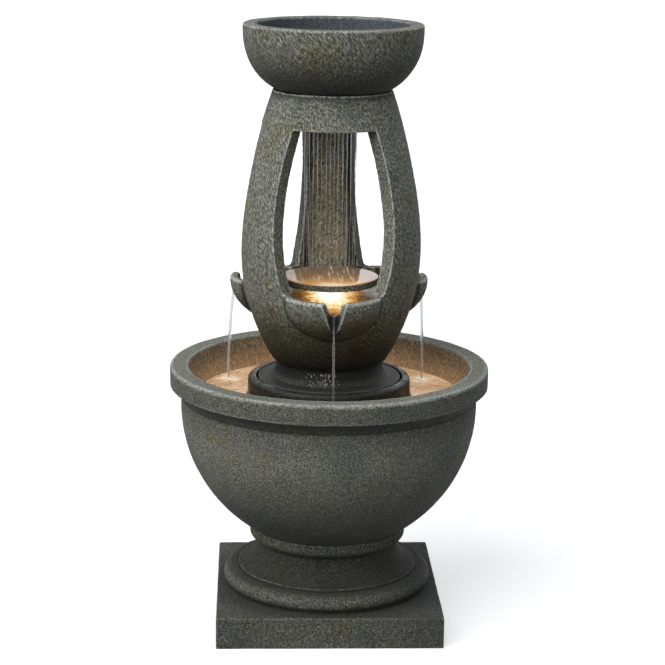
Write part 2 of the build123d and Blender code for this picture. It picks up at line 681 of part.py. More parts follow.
# Hollow of the egg shell between the basin floor and the ceiling of the crown
with BuildPart() as egg_hollow:
    with BuildSketch(Plane.XZ):
        with BuildLine():
            floor_radius = belly_radius(basin_floor, SHELL_WALL)
            floor_angle = belly_angle(basin_floor, SHELL_WALL)
            ceiling_angle = shoulder_angle(ceiling, SHELL_WALL)
            ceiling_radius = shoulder_radius(ceiling, SHELL_WALL)
            Line((0, basin_floor), (floor_radius, basin_floor))
            CenterArc((belly_x, belly), BELLY_ARC - SHELL_WALL, -floor_angle, floor_angle)
            CenterArc((flank_x, belly), FLANK_ARC - SHELL_WALL, 0, FLANK_ANGLE)
            shoulder_arc = SHOULDER_ARC - SHELL_WALL
            CenterArc((shoulder_x, shoulder_z), shoulder_arc, FLANK_ANGLE, ceiling_angle - FLANK_ANGLE)
            Line((ceiling_radius, ceiling), (0, ceiling))
            Line((0, ceiling), (0, basin_floor))
        make_face()
    revolve(axis=Axis.Z)

# Window between two legs: its sides point at the axis, so its width grows with the distance
with BuildPart() as window_cutter:
    for distance in (WINDOW_NEAR, WINDOW_FAR):
        with BuildSketch(Plane.XZ.offset(distance)) as window_face:
            with BuildLine():
                half_top = distance * math.tan(math.radians(WINDOW_TOP_ANGLE))
                half_mid = distance * math.tan(math.radians(WINDOW_MID_ANGLE))
                half_foot = distance * math.tan(math.radians(WINDOW_FOOT_ANGLE))
                middle = (ceiling + lobe_rim) / 2
                Line((-half_foot, lobe_rim), (half_foot, lobe_rim))
                ThreePointArc((half_foot, lobe_rim), (half_mid, middle), (half_top, ceiling))
                Line((half_top, ceiling), (-half_top, ceiling))
                ThreePointArc((-half_top, ceiling), (-half_mid, middle), (-half_foot, lobe_rim))
            make_face()
            foot_round = distance * math.tan(math.radians(WINDOW_CORNER_ANGLE))
            head_round = distance * math.tan(math.radians(WINDOW_HEAD_ANGLE))
            fillet(window_face.vertices().group_by(Axis.Y)[0], foot_round)
            fillet(window_face.vertices().group_by(Axis.Y)[-1], head_round)
    loft(ruled=True)

# Spout at the tip of a lobe: a slot over the sill, and a groove that flares down the lobe's face
lobe_tip = LOBE_CIRCLE_RADIUS + LOBE_RADIUS
groove_back = lobe_tip - GROOVE_WALL
groove_end = lobe_tip + LOBE_WALL
slot_levels = (
    (lobe_rim - NOTCH_DEPTH, NOTCH_FOOT / 2),
    (lobe_rim - NOTCH_EDGE, NOTCH_TOP / 2),
    (lobe_rim, NOTCH_TOP / 2 + NOTCH_EDGE),
    (lobe_rim + NOTCH_EDGE, NOTCH_TOP / 2 + NOTCH_EDGE),
)
with BuildPart() as notch_slot:
    for level, half in slot_levels:
        with BuildSketch(Plane.XY.offset(level)):
            with Locations((0, -groove_back)):
                Rectangle(2 * half, NOTCH_LENGTH, align=(Align.CENTER, Align.MIN))
    loft(ruled=True)

flare = math.tan(math.radians(GROOVE_FLARE))
foot_flare = math.tan(math.radians(GROOVE_FOOT_FLARE))
groove_levels = [(lobe_rim - GROOVE_DROP, GROOVE_FOOT / 2, groove_back - GROOVE_RAKE, foot_flare)]
for level, half in slot_levels:
    groove_levels.append((level, half, groove_back, flare))
with BuildPart() as notch_groove:
    for level, half, back, spread in groove_levels:
        with BuildSketch(Plane.XY.offset(level)):
            end_half = half + spread * (groove_end - back)
            Polygon(
                (-half, -back),
                (-end_half, -groove_end),
                (end_half, -groove_end),
                (half, -back),
                align=None,
            )
    loft(ruled=True)

# Tower: foot flange, neck, egg shell on three legs, crown, lobed basin
crown_radius = shoulder_radius(crown_top, 0)
lip_radius = crown_radius - CROWN_LIP
bowl_share = math.sqrt(1 - ((top_band - crown_top) / (top_band - top_seat)) ** 2)
top_foot = (lip_radius - TOP_SEAT_GAP - TOP_BOWL_RADIUS * bowl_share) / (1 - bowl_share)
pad_radius = top_foot - TOP_PAD_INSET
dish_rise = top_band - top_seat + TOP_SEAT_GAP
lip_turn = math.degrees(math.asin((top_band - crown_top) / dish_rise))
dish_spread = (lip_radius - pad_radius) / math.cos(math.radians(lip_turn))
with BuildPart() as tower:
    with BuildSketch(Plane.XZ) as tower_face:
        with BuildLine():
            egg_foot = belly_angle(egg_base, 0)
            Line((0, tower_seat), (FLANGE_RADIUS, tower_seat))
            Line((FLANGE_RADIUS, tower_seat), (FLANGE_RADIUS, riser_top))
            Line((FLANGE_RADIUS, riser_top), (DRUM_FOOT_RADIUS, riser_top))
            SagittaArc((DRUM_FOOT_RADIUS, riser_top), (DRUM_TOP_RADIUS, egg_base), DRUM_SAG)
            Line((DRUM_TOP_RADIUS, egg_base), (belly_radius(egg_base, 0), egg_base))
            CenterArc((belly_x, belly), BELLY_ARC, -egg_foot, egg_foot)
            CenterArc((flank_x, belly), FLANK_ARC, 0, FLANK_ANGLE)
            crown_turn = shoulder_angle(crown_top, 0) - FLANK_ANGLE
            CenterArc((shoulder_x, shoulder_z), SHOULDER_ARC, FLANK_ANGLE, crown_turn)
            Line((crown_radius, crown_top), (lip_radius, crown_top))
            EllipticalCenterArc(
                (pad_radius, top_band), dish_spread, dish_rise, start_angle=-90, arc_size=90 - lip_turn
            )
            Line((pad_radius, top_seat - TOP_SEAT_GAP), (pad_radius, top_seat))
            Line((pad_radius, top_seat), (0, top_seat))
            Line((0, top_seat), (0, tower_seat))
        make_face()
        flange_corner = (FLANGE_RADIUS, riser_top)
        egg_corner = (belly_radius(egg_base, 0), egg_base)
        fillet(tower_face.vertices().sort_by_distance(flange_corner)[0], FLANGE_EDGE)
        fillet(tower_face.vertices().sort_by_distance(egg_corner)[0], EGG_FOOT_EDGE)
        fillet(tower_face.vertices().sort_by_distance((crown_radius, crown_top))[0], CROWN_EDGE)
    revolve(axis=Axis.Z)
    with PolarLocations(LOBE_CIRCLE_RADIUS, LEG_COUNT, start_angle=-90):
        add(lobe.part)
    add(egg_hollow.part, mode=Mode.SUBTRACT)
    with PolarLocations(LOBE_CIRCLE_RADIUS, LEG_COUNT, start_angle=-90):
        add(lobe_hollow.part, mode=Mode.SUBTRACT)
    with PolarLocations(0, LEG_COUNT):
        add(window_cutter.part, mode=Mode.SUBTRACT)
        add(notch_slot.part, mode=Mode.SUBTRACT)
        add(notch_groove.part, mode=Mode.SUBTRACT)
    add(hose_channel.part, mode=Mode.SUBTRACT)
    with Locations((0, SPREADER_BACK + SPREADER_FIT, ceiling)):
        Box(
            SPREADER_LENGTH + 2 * SPREADER_FIT,
            SPREADER_DEPTH + 2 * SPREADER_FIT,
            SPREADER_HEIGHT - SPREADER_DROP,
            align=(Align.CENTER, Align.MAX, Align.MIN),
            mode=Mode.SUBTRACT,
        )

# Water spreader: hollow bar in the crown with a row of outlets underneath
spreader_mid = SPREADER_BACK - SPREADER_DEPTH / 2
spreader_base = ceiling - SPREADER_DROP
with BuildPart(Plane.XY.offset(spreader_base)) as water_spreader:
    with Locations((0, spreader_mid)):
        Box(
            SPREADER_LENGTH,
            SPREADER_DEPTH,
            SPREADER_HEIGHT,
            align=(Align.CENTER, Align.CENTER, Align.MIN),
        )
        fillet(water_spreader.edges().filter_by(Axis.Z), SPREADER_WALL)
        with Locations((0, 0, SPREADER_WALL)):
            Box(
                SPREADER_LENGTH - 2 * SPREADER_WALL,
                SPREADER_DEPTH - 2 * SPREADER_WALL,
                SPREADER_HEIGHT - 2 * SPREADER_WALL,
                align=(Align.CENTER, Align.CENTER, Align.MIN),
                mode=Mode.SUBTRACT,
            )
        with GridLocations(OUTLET_PITCH, 0, OUTLET_COUNT, 1):
            Cylinder(OUTLET_RADIUS, OUTLET_LENGTH, align=(Align.CENTER, Align.CENTER, Align.MAX))
            Cylinder(OUTLET_BORE, 3 * OUTLET_LENGTH, mode=Mode.SUBTRACT)
    with Locations((0, SPREADER_BACK, hose_z - spreader_base)):
        Cylinder(
            TUBE_RADIUS + TUBE_CLEARANCE,
            2 * TUBE_TIP,
            rotation=(90, 0, 0),
            mode=Mode.SUBTRACT,
        )

# Splash dish on a post, and the ring lamp round the post
socket_top = dish_base + DISH_THICKNESS - 2 * DISH_RECESS
with BuildPart() as splash_dish:
    with BuildSketch(Plane.XZ):
        with BuildLine():
            Polyline(
                (0, dish_top - DISH_RECESS),
                (DISH_RADIUS - DISH_RIM, dish_top - DISH_RECESS),
                (DISH_RADIUS - DISH_RIM + DISH_RECESS, dish_top),
                (DISH_RADIUS, dish_top),
                (DISH_RADIUS, dish_base),
                (DISH_BOSS_RADIUS, dish_base),
                (DISH_BOSS_RADIUS, dish_base - DISH_BOSS),
                (POST_RADIUS + DISH_FIT, dish_base - DISH_BOSS),
                (POST_RADIUS + DISH_FIT, socket_top),
                (0, socket_top),
                close=True,
            )
        make_face()
    revolve(axis=Axis.Z)
    rim_edges = splash_dish.edges().filter_by(GeomType.CIRCLE).group_by(SortBy.RADIUS)[-1]
    fillet(rim_edges.sort_by(Axis.Z)[0], DISH_EDGE)

with BuildPart(Plane.XY.offset(basin_floor)) as dish_post:
    Cylinder(POST_FLANGE, POST_FLANGE_HEIGHT, align=(Align.CENTER, Align.CENTER, Align.MIN))
    Cylinder(POST_RADIUS, socket_top - basin_floor, align=(Align.CENTER, Align.CENTER, Align.MIN))

ring_shelf = RING_LAMP_HEIGHT - RING_SHELF_DEPTH
ring_mid = (RING_LAMP_RADIUS + RING_LAMP_BORE) / 2
ring_half = (RING_LAMP_RADIUS - RING_LAMP_BORE) / 2 - LAMP_WALL
lamp_base = Plane.XY.offset(basin_floor)
with BuildPart() as dish_lamp_housing:
    with BuildSketch(lamp_base):
        Circle(RING_LAMP_RADIUS)
        Circle(RING_LAMP_BORE, mode=Mode.SUBTRACT)
    extrude(amount=RING_LAMP_HEIGHT)
    with BuildSketch(lamp_base.offset(ring_shelf)):
        Circle(ring_mid + ring_half)
        Circle(ring_mid - ring_half, mode=Mode.SUBTRACT)
    extrude(amount=RING_SHELF_DEPTH, mode=Mode.SUBTRACT)
    with BuildSketch(lamp_base.offset(LAMP_WALL)):
        Circle(ring_mid + ring_half / 2)
        Circle(ring_mid - ring_half / 2, mode=Mode.SUBTRACT)
    extrude(amount=ring_shelf - LAMP_WALL, mode=Mode.SUBTRACT)

with BuildPart(lamp_base.offset(ring_shelf)) as dish_lamp_board:
    with BuildSketch(lamp_base.offset(ring_shelf)):
        Circle(ring_mid + ring_half - LAMP_BOARD_FIT)
        Circle(ring_mid - ring_half + LAMP_BOARD_FIT, mode=Mode.SUBTRACT)
    extrude(amount=LAMP_BOARD)
    with PolarLocations(ring_mid, RING_LED_COUNT):
        with Locations((0, 0, LAMP_BOARD)):
            Box(LED_SIZE, LED_SIZE, LED_HEIGHT, align=(Align.CENTER, Align.CENTER, Align.MIN))

with BuildPart() as dish_lamp_seal:
    with BuildSketch(lamp_base.offset(RING_LAMP_HEIGHT)):
        Circle(RING_LAMP_RADIUS)
        Circle(RING_LAMP_RADIUS - LAMP_WALL, mode=Mode.SUBTRACT)
    extrude(amount=LAMP_SEAL)

with BuildPart() as dish_lamp_lens:
    with BuildSketch(lamp_base.offset(RING_LAMP_HEIGHT + LAMP_SEAL)):
        Circle(RING_LAMP_RADIUS)
        Circle(RING_LAMP_BORE, mode=Mode.SUBTRACT)
    extrude(amount=LAMP_LENS)
    fillet(dish_lamp_lens.edges().group_by(Axis.Z)[-1], LAMP_WALL / 3)

# Top bowl seated in the crown
with BuildPart() as top_bowl:
    with BuildSketch(Plane.XZ):
        with BuildLine():
            outer_spread = TOP_BOWL_RADIUS - top_foot
            inner_radius = TOP_BOWL_RADIUS - TOP_BOWL_WALL
            inner_floor = top_seat + TOP_BOWL_FLOOR
            Line((0, top_seat), (top_foot, top_seat))
            EllipticalCenterArc(
                (top_foot, top_band), outer_spread, top_band - top_seat, start_angle=-90, arc_size=90
            )
            Line((TOP_BOWL_RADIUS, top_band), (TOP_BOWL_RADIUS, top_rim))
            Line((TOP_BOWL_RADIUS, top_rim), (inner_radius, top_rim))
            Line((inner_radius, top_rim), (inner_radius, top_band))
            EllipticalCenterArc(
                (TOP_BOWL_FLAT, top_band),
                inner_radius - TOP_BOWL_FLAT,
                top_band - inner_floor,
                start_angle=-90,
                arc_size=90,
            )
            Line((TOP_BOWL_FLAT, inner_floor), (0, inner_floor))
            Line((0, inner_floor), (0, top_seat))
        make_face()
    revolve(axis=Axis.Z)
    fillet(top_bowl.edges().group_by(Axis.Z)[-1], TOP_BOWL_EDGE)

pedestal.part.label = "pedestal"
export_step(pedestal.part, "parts/pedestal.step")
lower_bowl.part.label = "lower_bowl"
export_step(lower_bowl.part, "parts/lower_bowl.step")
cable_grommet.part.label = "cable_grommet"
export_step(cable_grommet.part, "parts/cable_grommet.step")
pump_riser.part.label = "pump_riser"
export_step(pump_riser.part, "parts/pump_riser.step")
pool_lamp_housings.part.label = "pool_lamp_housings"
export_step(pool_lamp_housings.part, "parts/pool_lamp_housings.step")
pool_lamp_boards.part.label = "pool_lamp_boards"
export_step(pool_lamp_boards.part, "parts/pool_lamp_boards.step")
pool_lamp_lenses.part.label = "pool_lamp_lenses"
export_step(pool_lamp_lenses.part, "parts/pool_lamp_lenses.step")
pump_body.part.label = "pump_body"
export_step(pump_body.part, "parts/pump_body.step")
pump_volute.part.label = "pump_volute"
export_step(pump_volute.part, "parts/pump_volute.step")
impeller_shaft.part.label = "impeller_shaft"
export_step(impeller_shaft.part, "parts/impeller_shaft.step")
shaft_bushes.part.label = "shaft_bushes"
export_step(shaft_bushes.part, "parts/shaft_bushes.step")
impeller.part.label = "impeller"
export_step(impeller.part, "parts/impeller.step")
outlet_nozzle.part.label = "outlet_nozzle"
export_step(outlet_nozzle.part, "parts/outlet_nozzle.step")
pump_strainer.part.label = "pump_strainer"
export_step(pump_strainer.part, "parts/pump_strainer.step")
flow_dial.part.label = "flow_dial"
export_step(flow_dial.part, "parts/flow_dial.step")
suction_cups.part.label = "suction_cups"
export_step(suction_cups.part, "parts/suction_cups.step")
tower.part.label = "tower"
export_step(tower.part, "parts/tower.step")
riser_tube.part.label = "riser_tube"
export_step(riser_tube.part, "parts/riser_tube.step")
water_spreader.part.label = "water_spreader"
export_step(water_spreader.part, "parts/water_spreader.step")
splash_dish.part.label = "splash_dish"
export_step(splash_dish.part, "parts/splash_dish.step")
dish_post.part.label = "dish_post"
export_step(dish_post.part, "parts/dish_post.step")
dish_lamp_housing.part.label = "dish_lamp_housing"
export_step(dish_lamp_housing.part, "parts/dish_lamp_housing.step")
dish_lamp_board.part.label = "dish_lamp_board"
export_step(dish_lamp_board.part, "parts/dish_lamp_board.step")
dish_lamp_seal.part.label = "dish_lamp_seal"
export_step(dish_lamp_seal.part, "parts/dish_lamp_seal.step")
dish_lamp_lens.part.label = "dish_lamp_lens"
export_step(dish_lamp_lens.part, "parts/dish_lamp_lens.step")
top_bowl.part.label = "top_bowl"
export_step(top_bowl.part, "parts/top_bowl.step")
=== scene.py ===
# %% [markdown]
# # A bowl fountain in cast stone
# The fountain stands about 1.08 m tall: a square pedestal, a wide pool bowl, an open tower with a
# lit splash dish, and an empty bowl on top. The solids come from CAD and already have the right
# sizes, so this lesson only dresses them: stone that looks cast and hammered, running water and
# warm lamps. First the imported solids are loaded.

# %% Load the imported solids
import math
import random

import bpy
import numpy as np
from mathutils import Matrix, Vector


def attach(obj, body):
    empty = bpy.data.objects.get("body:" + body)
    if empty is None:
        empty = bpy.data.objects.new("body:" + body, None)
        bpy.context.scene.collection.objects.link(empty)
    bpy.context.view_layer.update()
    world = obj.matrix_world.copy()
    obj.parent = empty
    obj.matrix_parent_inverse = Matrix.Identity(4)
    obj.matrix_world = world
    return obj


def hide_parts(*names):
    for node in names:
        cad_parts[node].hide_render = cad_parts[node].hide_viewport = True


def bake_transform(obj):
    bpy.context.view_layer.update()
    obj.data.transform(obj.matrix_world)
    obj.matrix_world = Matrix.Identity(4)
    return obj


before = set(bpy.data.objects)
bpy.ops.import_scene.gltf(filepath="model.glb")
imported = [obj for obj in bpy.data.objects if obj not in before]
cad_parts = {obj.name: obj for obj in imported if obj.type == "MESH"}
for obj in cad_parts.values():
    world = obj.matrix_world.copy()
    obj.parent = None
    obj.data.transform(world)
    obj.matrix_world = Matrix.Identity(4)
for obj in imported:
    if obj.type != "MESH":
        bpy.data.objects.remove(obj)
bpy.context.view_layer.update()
scene = bpy.context.scene
scene.view_settings.view_transform = "Standard"
bpy.ops.object.select_all(action="DESELECT")

# %% [markdown]
# ## The camera
# The photograph was taken from about 3.5 m away, a little above the top bowl, looking down.
# A long lens at that distance keeps the bowl's ellipses flat. The place and the three turns were
# worked out once from the plinth's corners and the rims, and are simply written down here.

# %% Camera
PHOTO_SIDE = 665
FOCAL_PIXELS = 2026.64
SENSOR = 36.0
CAMERA_PLACE = (-0.1424, -3.5457, 1.3830)
CAMERA_HEADING = math.radians(-2.383)
CAMERA_TILT = math.radians(76.427)
CAMERA_ROLL = math.radians(0.776)

bpy.ops.object.camera_add(location=CAMERA_PLACE)
camera = bpy.context.object
camera.data.sensor_width = SENSOR
camera.data.lens = FOCAL_PIXELS * SENSOR / PHOTO_SIDE
aim = Matrix.Rotation(CAMERA_HEADING, 4, "Z") @ Matrix.Rotation(CAMERA_TILT, 4, "X")
camera.matrix_world = Matrix.Translation(CAMERA_PLACE) @ aim @ Matrix.Rotation(CAMERA_ROLL, 4, "Z")
scene.camera = camera
print("lens:", round(camera.data.lens, 2), "mm")

# %% [markdown]
# ## Writing node trees as sums
# A finish is a small calculation: noise here, a mask there, colours mixed by them. Placing nodes
# one by one hides that, so a Wire stands for one value on its way through a node tree. Adding,
# subtracting or multiplying wires adds the Math nodes, and one method makes any other node.

# %% Wires
class Wire:
    """One value on its way through a node tree."""

    def __init__(self, tree, socket=None):
        self.tree = tree
        self.socket = socket

    def node(self, kind, settings=None, inputs=None, output=0):
        """Any node: its type, its settings, which are set first, and what goes into its sockets."""
        made = self.tree.nodes.new("ShaderNode" + kind)
        for name, value in (settings or {}).items():
            if name == "stops":
                set_stops(made.color_ramp, value)
            else:
                setattr(made, name, value)
        for name, value in (inputs or {}).items():
            if isinstance(value, Wire):
                self.tree.links.new(value.socket, made.inputs[name])
            else:
                made.inputs[name].default_value = value
        return Wire(self.tree, made.outputs[output] if made.outputs else None)

    def count(self, operation, first, second=0.0):
        """A Math node."""
        return self.node("Math", {"operation": operation}, {0: first, 1: second})

    def __add__(self, other):
        return self.count("ADD", self, other)

    def __radd__(self, other):
        return self.count("ADD", other, self)

    def __sub__(self, other):
        return self.count("SUBTRACT", self, other)

    def __rsub__(self, other):
        return self.count("SUBTRACT", other, self)

    def __mul__(self, other):
        return self.count("MULTIPLY", self, other)

    def __rmul__(self, other):
        return self.count("MULTIPLY", other, self)

    def __truediv__(self, other):
        return self.count("DIVIDE", self, other)

    def __pow__(self, other):
        return self.count("POWER", self, other)

    def __neg__(self):
        return self.count("SUBTRACT", 0.0, self)

    def __abs__(self):
        return self.count("ABSOLUTE", self)

# %% Colours and masks
def set_stops(ramp, stops):
    """Gives a colour ramp its stops, from (position, colour) pairs."""
    while len(ramp.elements) < len(stops):
        ramp.elements.new(1.0)
    for element, (position, colour) in zip(ramp.elements, stops):
        element.position = position
        element.color = colour


def paint(red, green, blue):
    """A colour as seen on a screen, 0 to 255, as the linear colour that shaders use."""
    parts = [part / 255 for part in (red, green, blue)]
    linear = [p / 12.92 if p <= 0.04045 else ((p + 0.055) / 1.055) ** 2.4 for p in parts]
    return (*linear, 1.0)


def step(value, low, high):
    """0 below low and 1 above high, with a soft change between them."""
    limits = {"Value": value, "From Min": low, "From Max": high}
    return value.node("MapRange", {"interpolation_type": "SMOOTHSTEP"}, limits)


def mix(mask, first, second, how="MIX"):
    """First colour where mask is 0 and second where it is 1."""
    settings = {"data_type": "RGBA", "blend_type": how}
    return mask.node("Mix", settings, {0: mask, 6: first, 7: second}, 2)


def ramp(value, *stops):
    """A colour picked by a value along (position, colour) stops."""
    return value.node("ValToRGB", {"stops": stops}, {0: value})


print("mid grey on a screen gives back", round(paint(128, 128, 128)[0], 3), "of the light")

# %% Places and patterns
def noise(place, scale, detail=2.0, roughness=0.5, swirl=0.0):
    """Smooth noise with about scale bumps a metre."""
    inputs = {"Vector": place, "Scale": scale, "Detail": detail, "Roughness": roughness}
    return place.node("TexNoise", None, {**inputs, "Distortion": swirl})


def scaled(place, factors, shift=(0, 0, 0)):
    """A place stretched along the axes and moved."""
    inputs = {0: place, 1: factors, 2: shift}
    return place.node("VectorMath", {"operation": "MULTIPLY_ADD"}, inputs)


def axis(place, name):
    """One coordinate of a place."""
    return place.node("SeparateXYZ", None, {0: place}, name)


def length(place):
    """Distance of a place from the origin."""
    return place.node("VectorMath", {"operation": "LENGTH"}, {0: place}, "Value")


def dot(first, second):
    """How far one vector reaches along another."""
    inputs = {0: first, 1: second}
    return first.node("VectorMath", {"operation": "DOT_PRODUCT"}, inputs, "Value")


def new_finish(name):
    """An empty material and a wire to start its nodes from."""
    material = bpy.data.materials.new(name)
    material.use_nodes = True
    material.node_tree.nodes.clear()
    return material, Wire(material.node_tree)


def surface(tree, inputs):
    """Ends a finish with the main shader."""
    shader = tree.node("BsdfPrincipled", None, inputs)
    tree.node("OutputMaterial", None, {"Surface": shader})

# %% [markdown]
# ## Studio
# The photograph is a cut-out on white, lit softly from the upper left, with a cool light from
# above, a faint one from behind and a little coming back from the floor near it, since the pool
# bowl's belly is lit but the undersides higher up are dark. Suns with a wide disc give even soft
# light over the whole floor, which area lamps can't. The floor and the world are white to the
# camera and in reflections, but give the object little light of their own.

# %% Floor
FLOOR_SIDE = 60.0
FLOOR_GREY = (0.62, 0.62, 0.62, 1.0)
FLOOR_FILL = 0.5
WHITE = (1.0, 1.0, 1.0, 1.0)


def seen_directly(tree):
    """1 for rays from the camera and for mirror and glass rays, 0 for light that bounces."""
    shown = tree.node("LightPath", output="Is Camera Ray")
    shiny = tree.node("LightPath", output="Is Glossy Ray")
    through = tree.node("LightPath", output="Is Transmission Ray")
    return shown.count("MAXIMUM", shown, shiny.count("MAXIMUM", shiny, through))


bpy.ops.mesh.primitive_plane_add(size=FLOOR_SIDE)
floor = bpy.context.object
floor.name = "floor"
floor_white, tree = new_finish("floor_white")
lit = tree.node("BsdfDiffuse", None, {"Color": FLOOR_GREY})
fill = tree.node("Emission", None, {"Color": WHITE, "Strength": FLOOR_FILL})
bright = tree.node("AddShader", None, {0: lit, 1: fill})
reach = length(tree.node("TexCoord", output="Object"))
grey = ramp(reach, (0.35, paint(150, 150, 148)), (0.75, paint(60, 60, 61)))
dim = tree.node("BsdfDiffuse", None, {"Color": grey})
seen = tree.node("MixShader", None, {0: seen_directly(tree), 1: dim, 2: bright})
tree.node("OutputMaterial", None, {"Surface": seen})
floor.data.materials.append(floor_white)
print("floor:", FLOOR_SIDE, "m")

# %% World
SKY_BLUE = (0.93, 0.96, 1.0, 1.0)
SKY_LIGHT = 0.15

world = bpy.data.worlds.new("studio")
world.use_nodes = True
world.node_tree.nodes.clear()
scene.world = world
tree = Wire(world.node_tree)
soft = tree.node("Background", None, {"Color": SKY_BLUE, "Strength": SKY_LIGHT})
clear = tree.node("Background", None, {"Color": WHITE, "Strength": 1.0})
around = tree.node("MixShader", None, {0: seen_directly(tree), 1: soft, 2: clear})
tree.node("OutputWorld", None, {"Surface": around})
print("world:", world.name)

# %% Lamps
def sun(name, azimuth, elevation, strength, width, colour):
    """A soft lamp far away, turned in degrees from the front to the right, and raised."""
    bpy.ops.object.light_add(type="SUN")
    lamp = bpy.context.object
    lamp.name = name
    lamp.data.energy = strength
    lamp.data.angle = math.radians(width)
    lamp.data.color = colour
    turn, rise = math.radians(azimuth), math.radians(elevation)
    flat = math.cos(rise)
    back = Vector((math.sin(turn) * flat, -math.cos(turn) * flat, math.sin(rise)))
    lamp.rotation_euler = back.to_track_quat("Z", "Y").to_euler()


sun("key", -52, 42, 2.6, 60, (1.0, 0.99, 0.96))
sun("top", -10, 80, 1.0, 70, (0.90, 0.95, 1.0))
sun("front", -4, 16, 1.05, 80, (1.0, 1.0, 0.99))
sun("rim", 150, 25, 0.75, 60, (0.86, 0.93, 1.0))

# %% [markdown]
# ## Casting the stone
# Cast stone leaves the mould with soft edges and a slightly uneven skin. A bevel would have to find
# every edge of the pierced tower, so instead each solid is copied and remeshed in even small cells
# that keep its edges, smoothed a little and pushed inwards by a slow noise. The even cells also
# make it possible to measure where the skin bulges, which later tells the finish where edges turn
# pale, partly as wear and partly as painted highlight, and where creases get painted shade. Each
# piece has its body, the size of its cells in metres and its rounds of smoothing.

# %% Choosing a piece and applying its modifiers
def choose(piece):
    """Selects one piece alone, so that operators act on nothing else."""
    bpy.ops.object.select_all(action="DESELECT")
    piece.select_set(True)
    bpy.context.view_layer.objects.active = piece


def apply_modifiers(piece):
    """Makes a piece's modifiers part of its mesh, in their order."""
    choose(piece)
    for name in [modifier.name for modifier in piece.modifiers]:
        bpy.ops.object.modifier_apply(modifier=name)


def points_of(mesh):
    """A mesh's points as rows of x, y and z."""
    points = np.empty(len(mesh.vertices) * 3)
    mesh.vertices.foreach_get("co", points)
    return points.reshape(-1, 3)

# %% Measuring bulges
BULGE_ROUNDS = 4
BULGE_FULL = 0.0008


def mark_bulges(piece):
    """Stores how far the skin stands out from its smoothed self: -1 in creases, 1 on edges."""
    mesh = piece.data
    points = points_of(mesh)
    total = len(points)
    ends = np.empty(len(mesh.edges) * 2, int)
    mesh.edges.foreach_get("vertices", ends)
    first, second = ends.reshape(-1, 2).T
    neighbours = np.bincount(np.concatenate((first, second)), minlength=total)
    smooth = points.copy()
    for _ in range(BULGE_ROUNDS):
        for column in range(3):
            line = smooth[:, column]
            near = np.bincount(first, line[second], total) + np.bincount(second, line[first], total)
            smooth[:, column] = 0.5 * line + 0.5 * near / neighbours
    normals = np.empty(total * 3)
    mesh.vertices.foreach_get("normal", normals)
    bulge = ((points - smooth) * normals.reshape(-1, 3)).sum(1) / BULGE_FULL
    marks = mesh.attributes.new("bulge", "FLOAT", "POINT")
    marks.data.foreach_set("value", np.clip(bulge, -1, 1).astype(np.float32))

# %% Cast copies of the stone solids
CASTS = {
    "pedestal": ("base", 0.0030, 2),
    "lower_bowl": ("base", 0.0042, 1),
    "pump_riser": ("base", 0.0040, 2),
    "tower": ("tower", 0.0033, 2),
    "splash_dish": ("dish", 0.0014, 2),
    "top_bowl": ("upper_bowl", 0.0026, 2),
}
REMESH_DEPTH = 8
MERGE_DISTANCE = 1e-5
SOFTENING = 0.5
SKIN_DEPTH = 0.0012
SKIN_SCALE = 0.045


def cast_from(node, body, cell, smoothing):
    """A stone copy of a CAD solid that stands for it."""
    piece = bpy.data.objects.new(node + "_cast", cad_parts[node].data.copy())
    scene.collection.objects.link(piece)
    choose(piece)
    piece.data.materials.clear()
    bpy.ops.object.mode_set(mode="EDIT")
    bpy.ops.mesh.select_all(action="SELECT")
    bpy.ops.mesh.remove_doubles(threshold=MERGE_DISTANCE)
    bpy.ops.object.mode_set(mode="OBJECT")
    even = piece.modifiers.new("even", "REMESH")
    even.mode = "SHARP"
    even.octree_depth = REMESH_DEPTH
    even.scale = max(piece.dimensions) / (cell * 2 ** REMESH_DEPTH)
    soften = piece.modifiers.new("soften", "SMOOTH")
    soften.factor = SOFTENING
    soften.iterations = smoothing
    skin = bpy.data.textures.new(node + "_skin", "CLOUDS")
    skin.noise_scale = SKIN_SCALE
    uneven = piece.modifiers.new("uneven", "DISPLACE")
    uneven.texture = skin
    uneven.texture_coords = "LOCAL"
    uneven.strength = SKIN_DEPTH
    uneven.mid_level = 1.0
    apply_modifiers(piece)
    mark_bulges(piece)
    bpy.ops.object.shade_smooth()
    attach(piece, body)
    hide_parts(node)
    print(piece.name, "triangles:", 2 * len(piece.data.polygons))
    return piece


casts = {node: cast_from(node, *how) for node, how in CASTS.items()}

# %% [markdown]
# ## Stone finish
# The skin is dark grey-green with fine hammered strokes that run diagonally round the piece. Noise
# stretched along one straight line would smear on the far side, so the place is first turned about
# the fountain's axis, more the higher it is, and then squeezed in height: the noise then follows
# spirals. Olive and cool patches go over that, with painted shade on undersides and in creases, and
# pale edges that are partly wear and partly painted highlight. What is special about one piece, such
# as spray or lamplight, is added by small functions that repaint the look.

# %% Hammered strokes
STROKE_SHARE = 0.62
GRIT_FINENESS = 2.2


def hammered(place, twist, squeeze, scale):
    """Height of the hammered skin, about 0.5 in the middle."""
    turn = {"Vector": place, "Angle": axis(place, "Z") * twist}
    turned = place.node("VectorRotate", {"rotation_type": "Z_AXIS"}, turn)
    strokes = noise(scaled(turned, (1, 1, squeeze)), scale, 2.0, 0.6)
    grit = noise(place, GRIT_FINENESS * scale, 1.0, 0.5)
    return strokes * STROKE_SHARE + grit * (1.0 - STROKE_SHARE)


def tinted(mask, strength, colour, tint):
    """A colour multiplied by a tint where mask is 1."""
    return mix(mask * strength, colour, mix(mask, colour, tint, "MULTIPLY"))

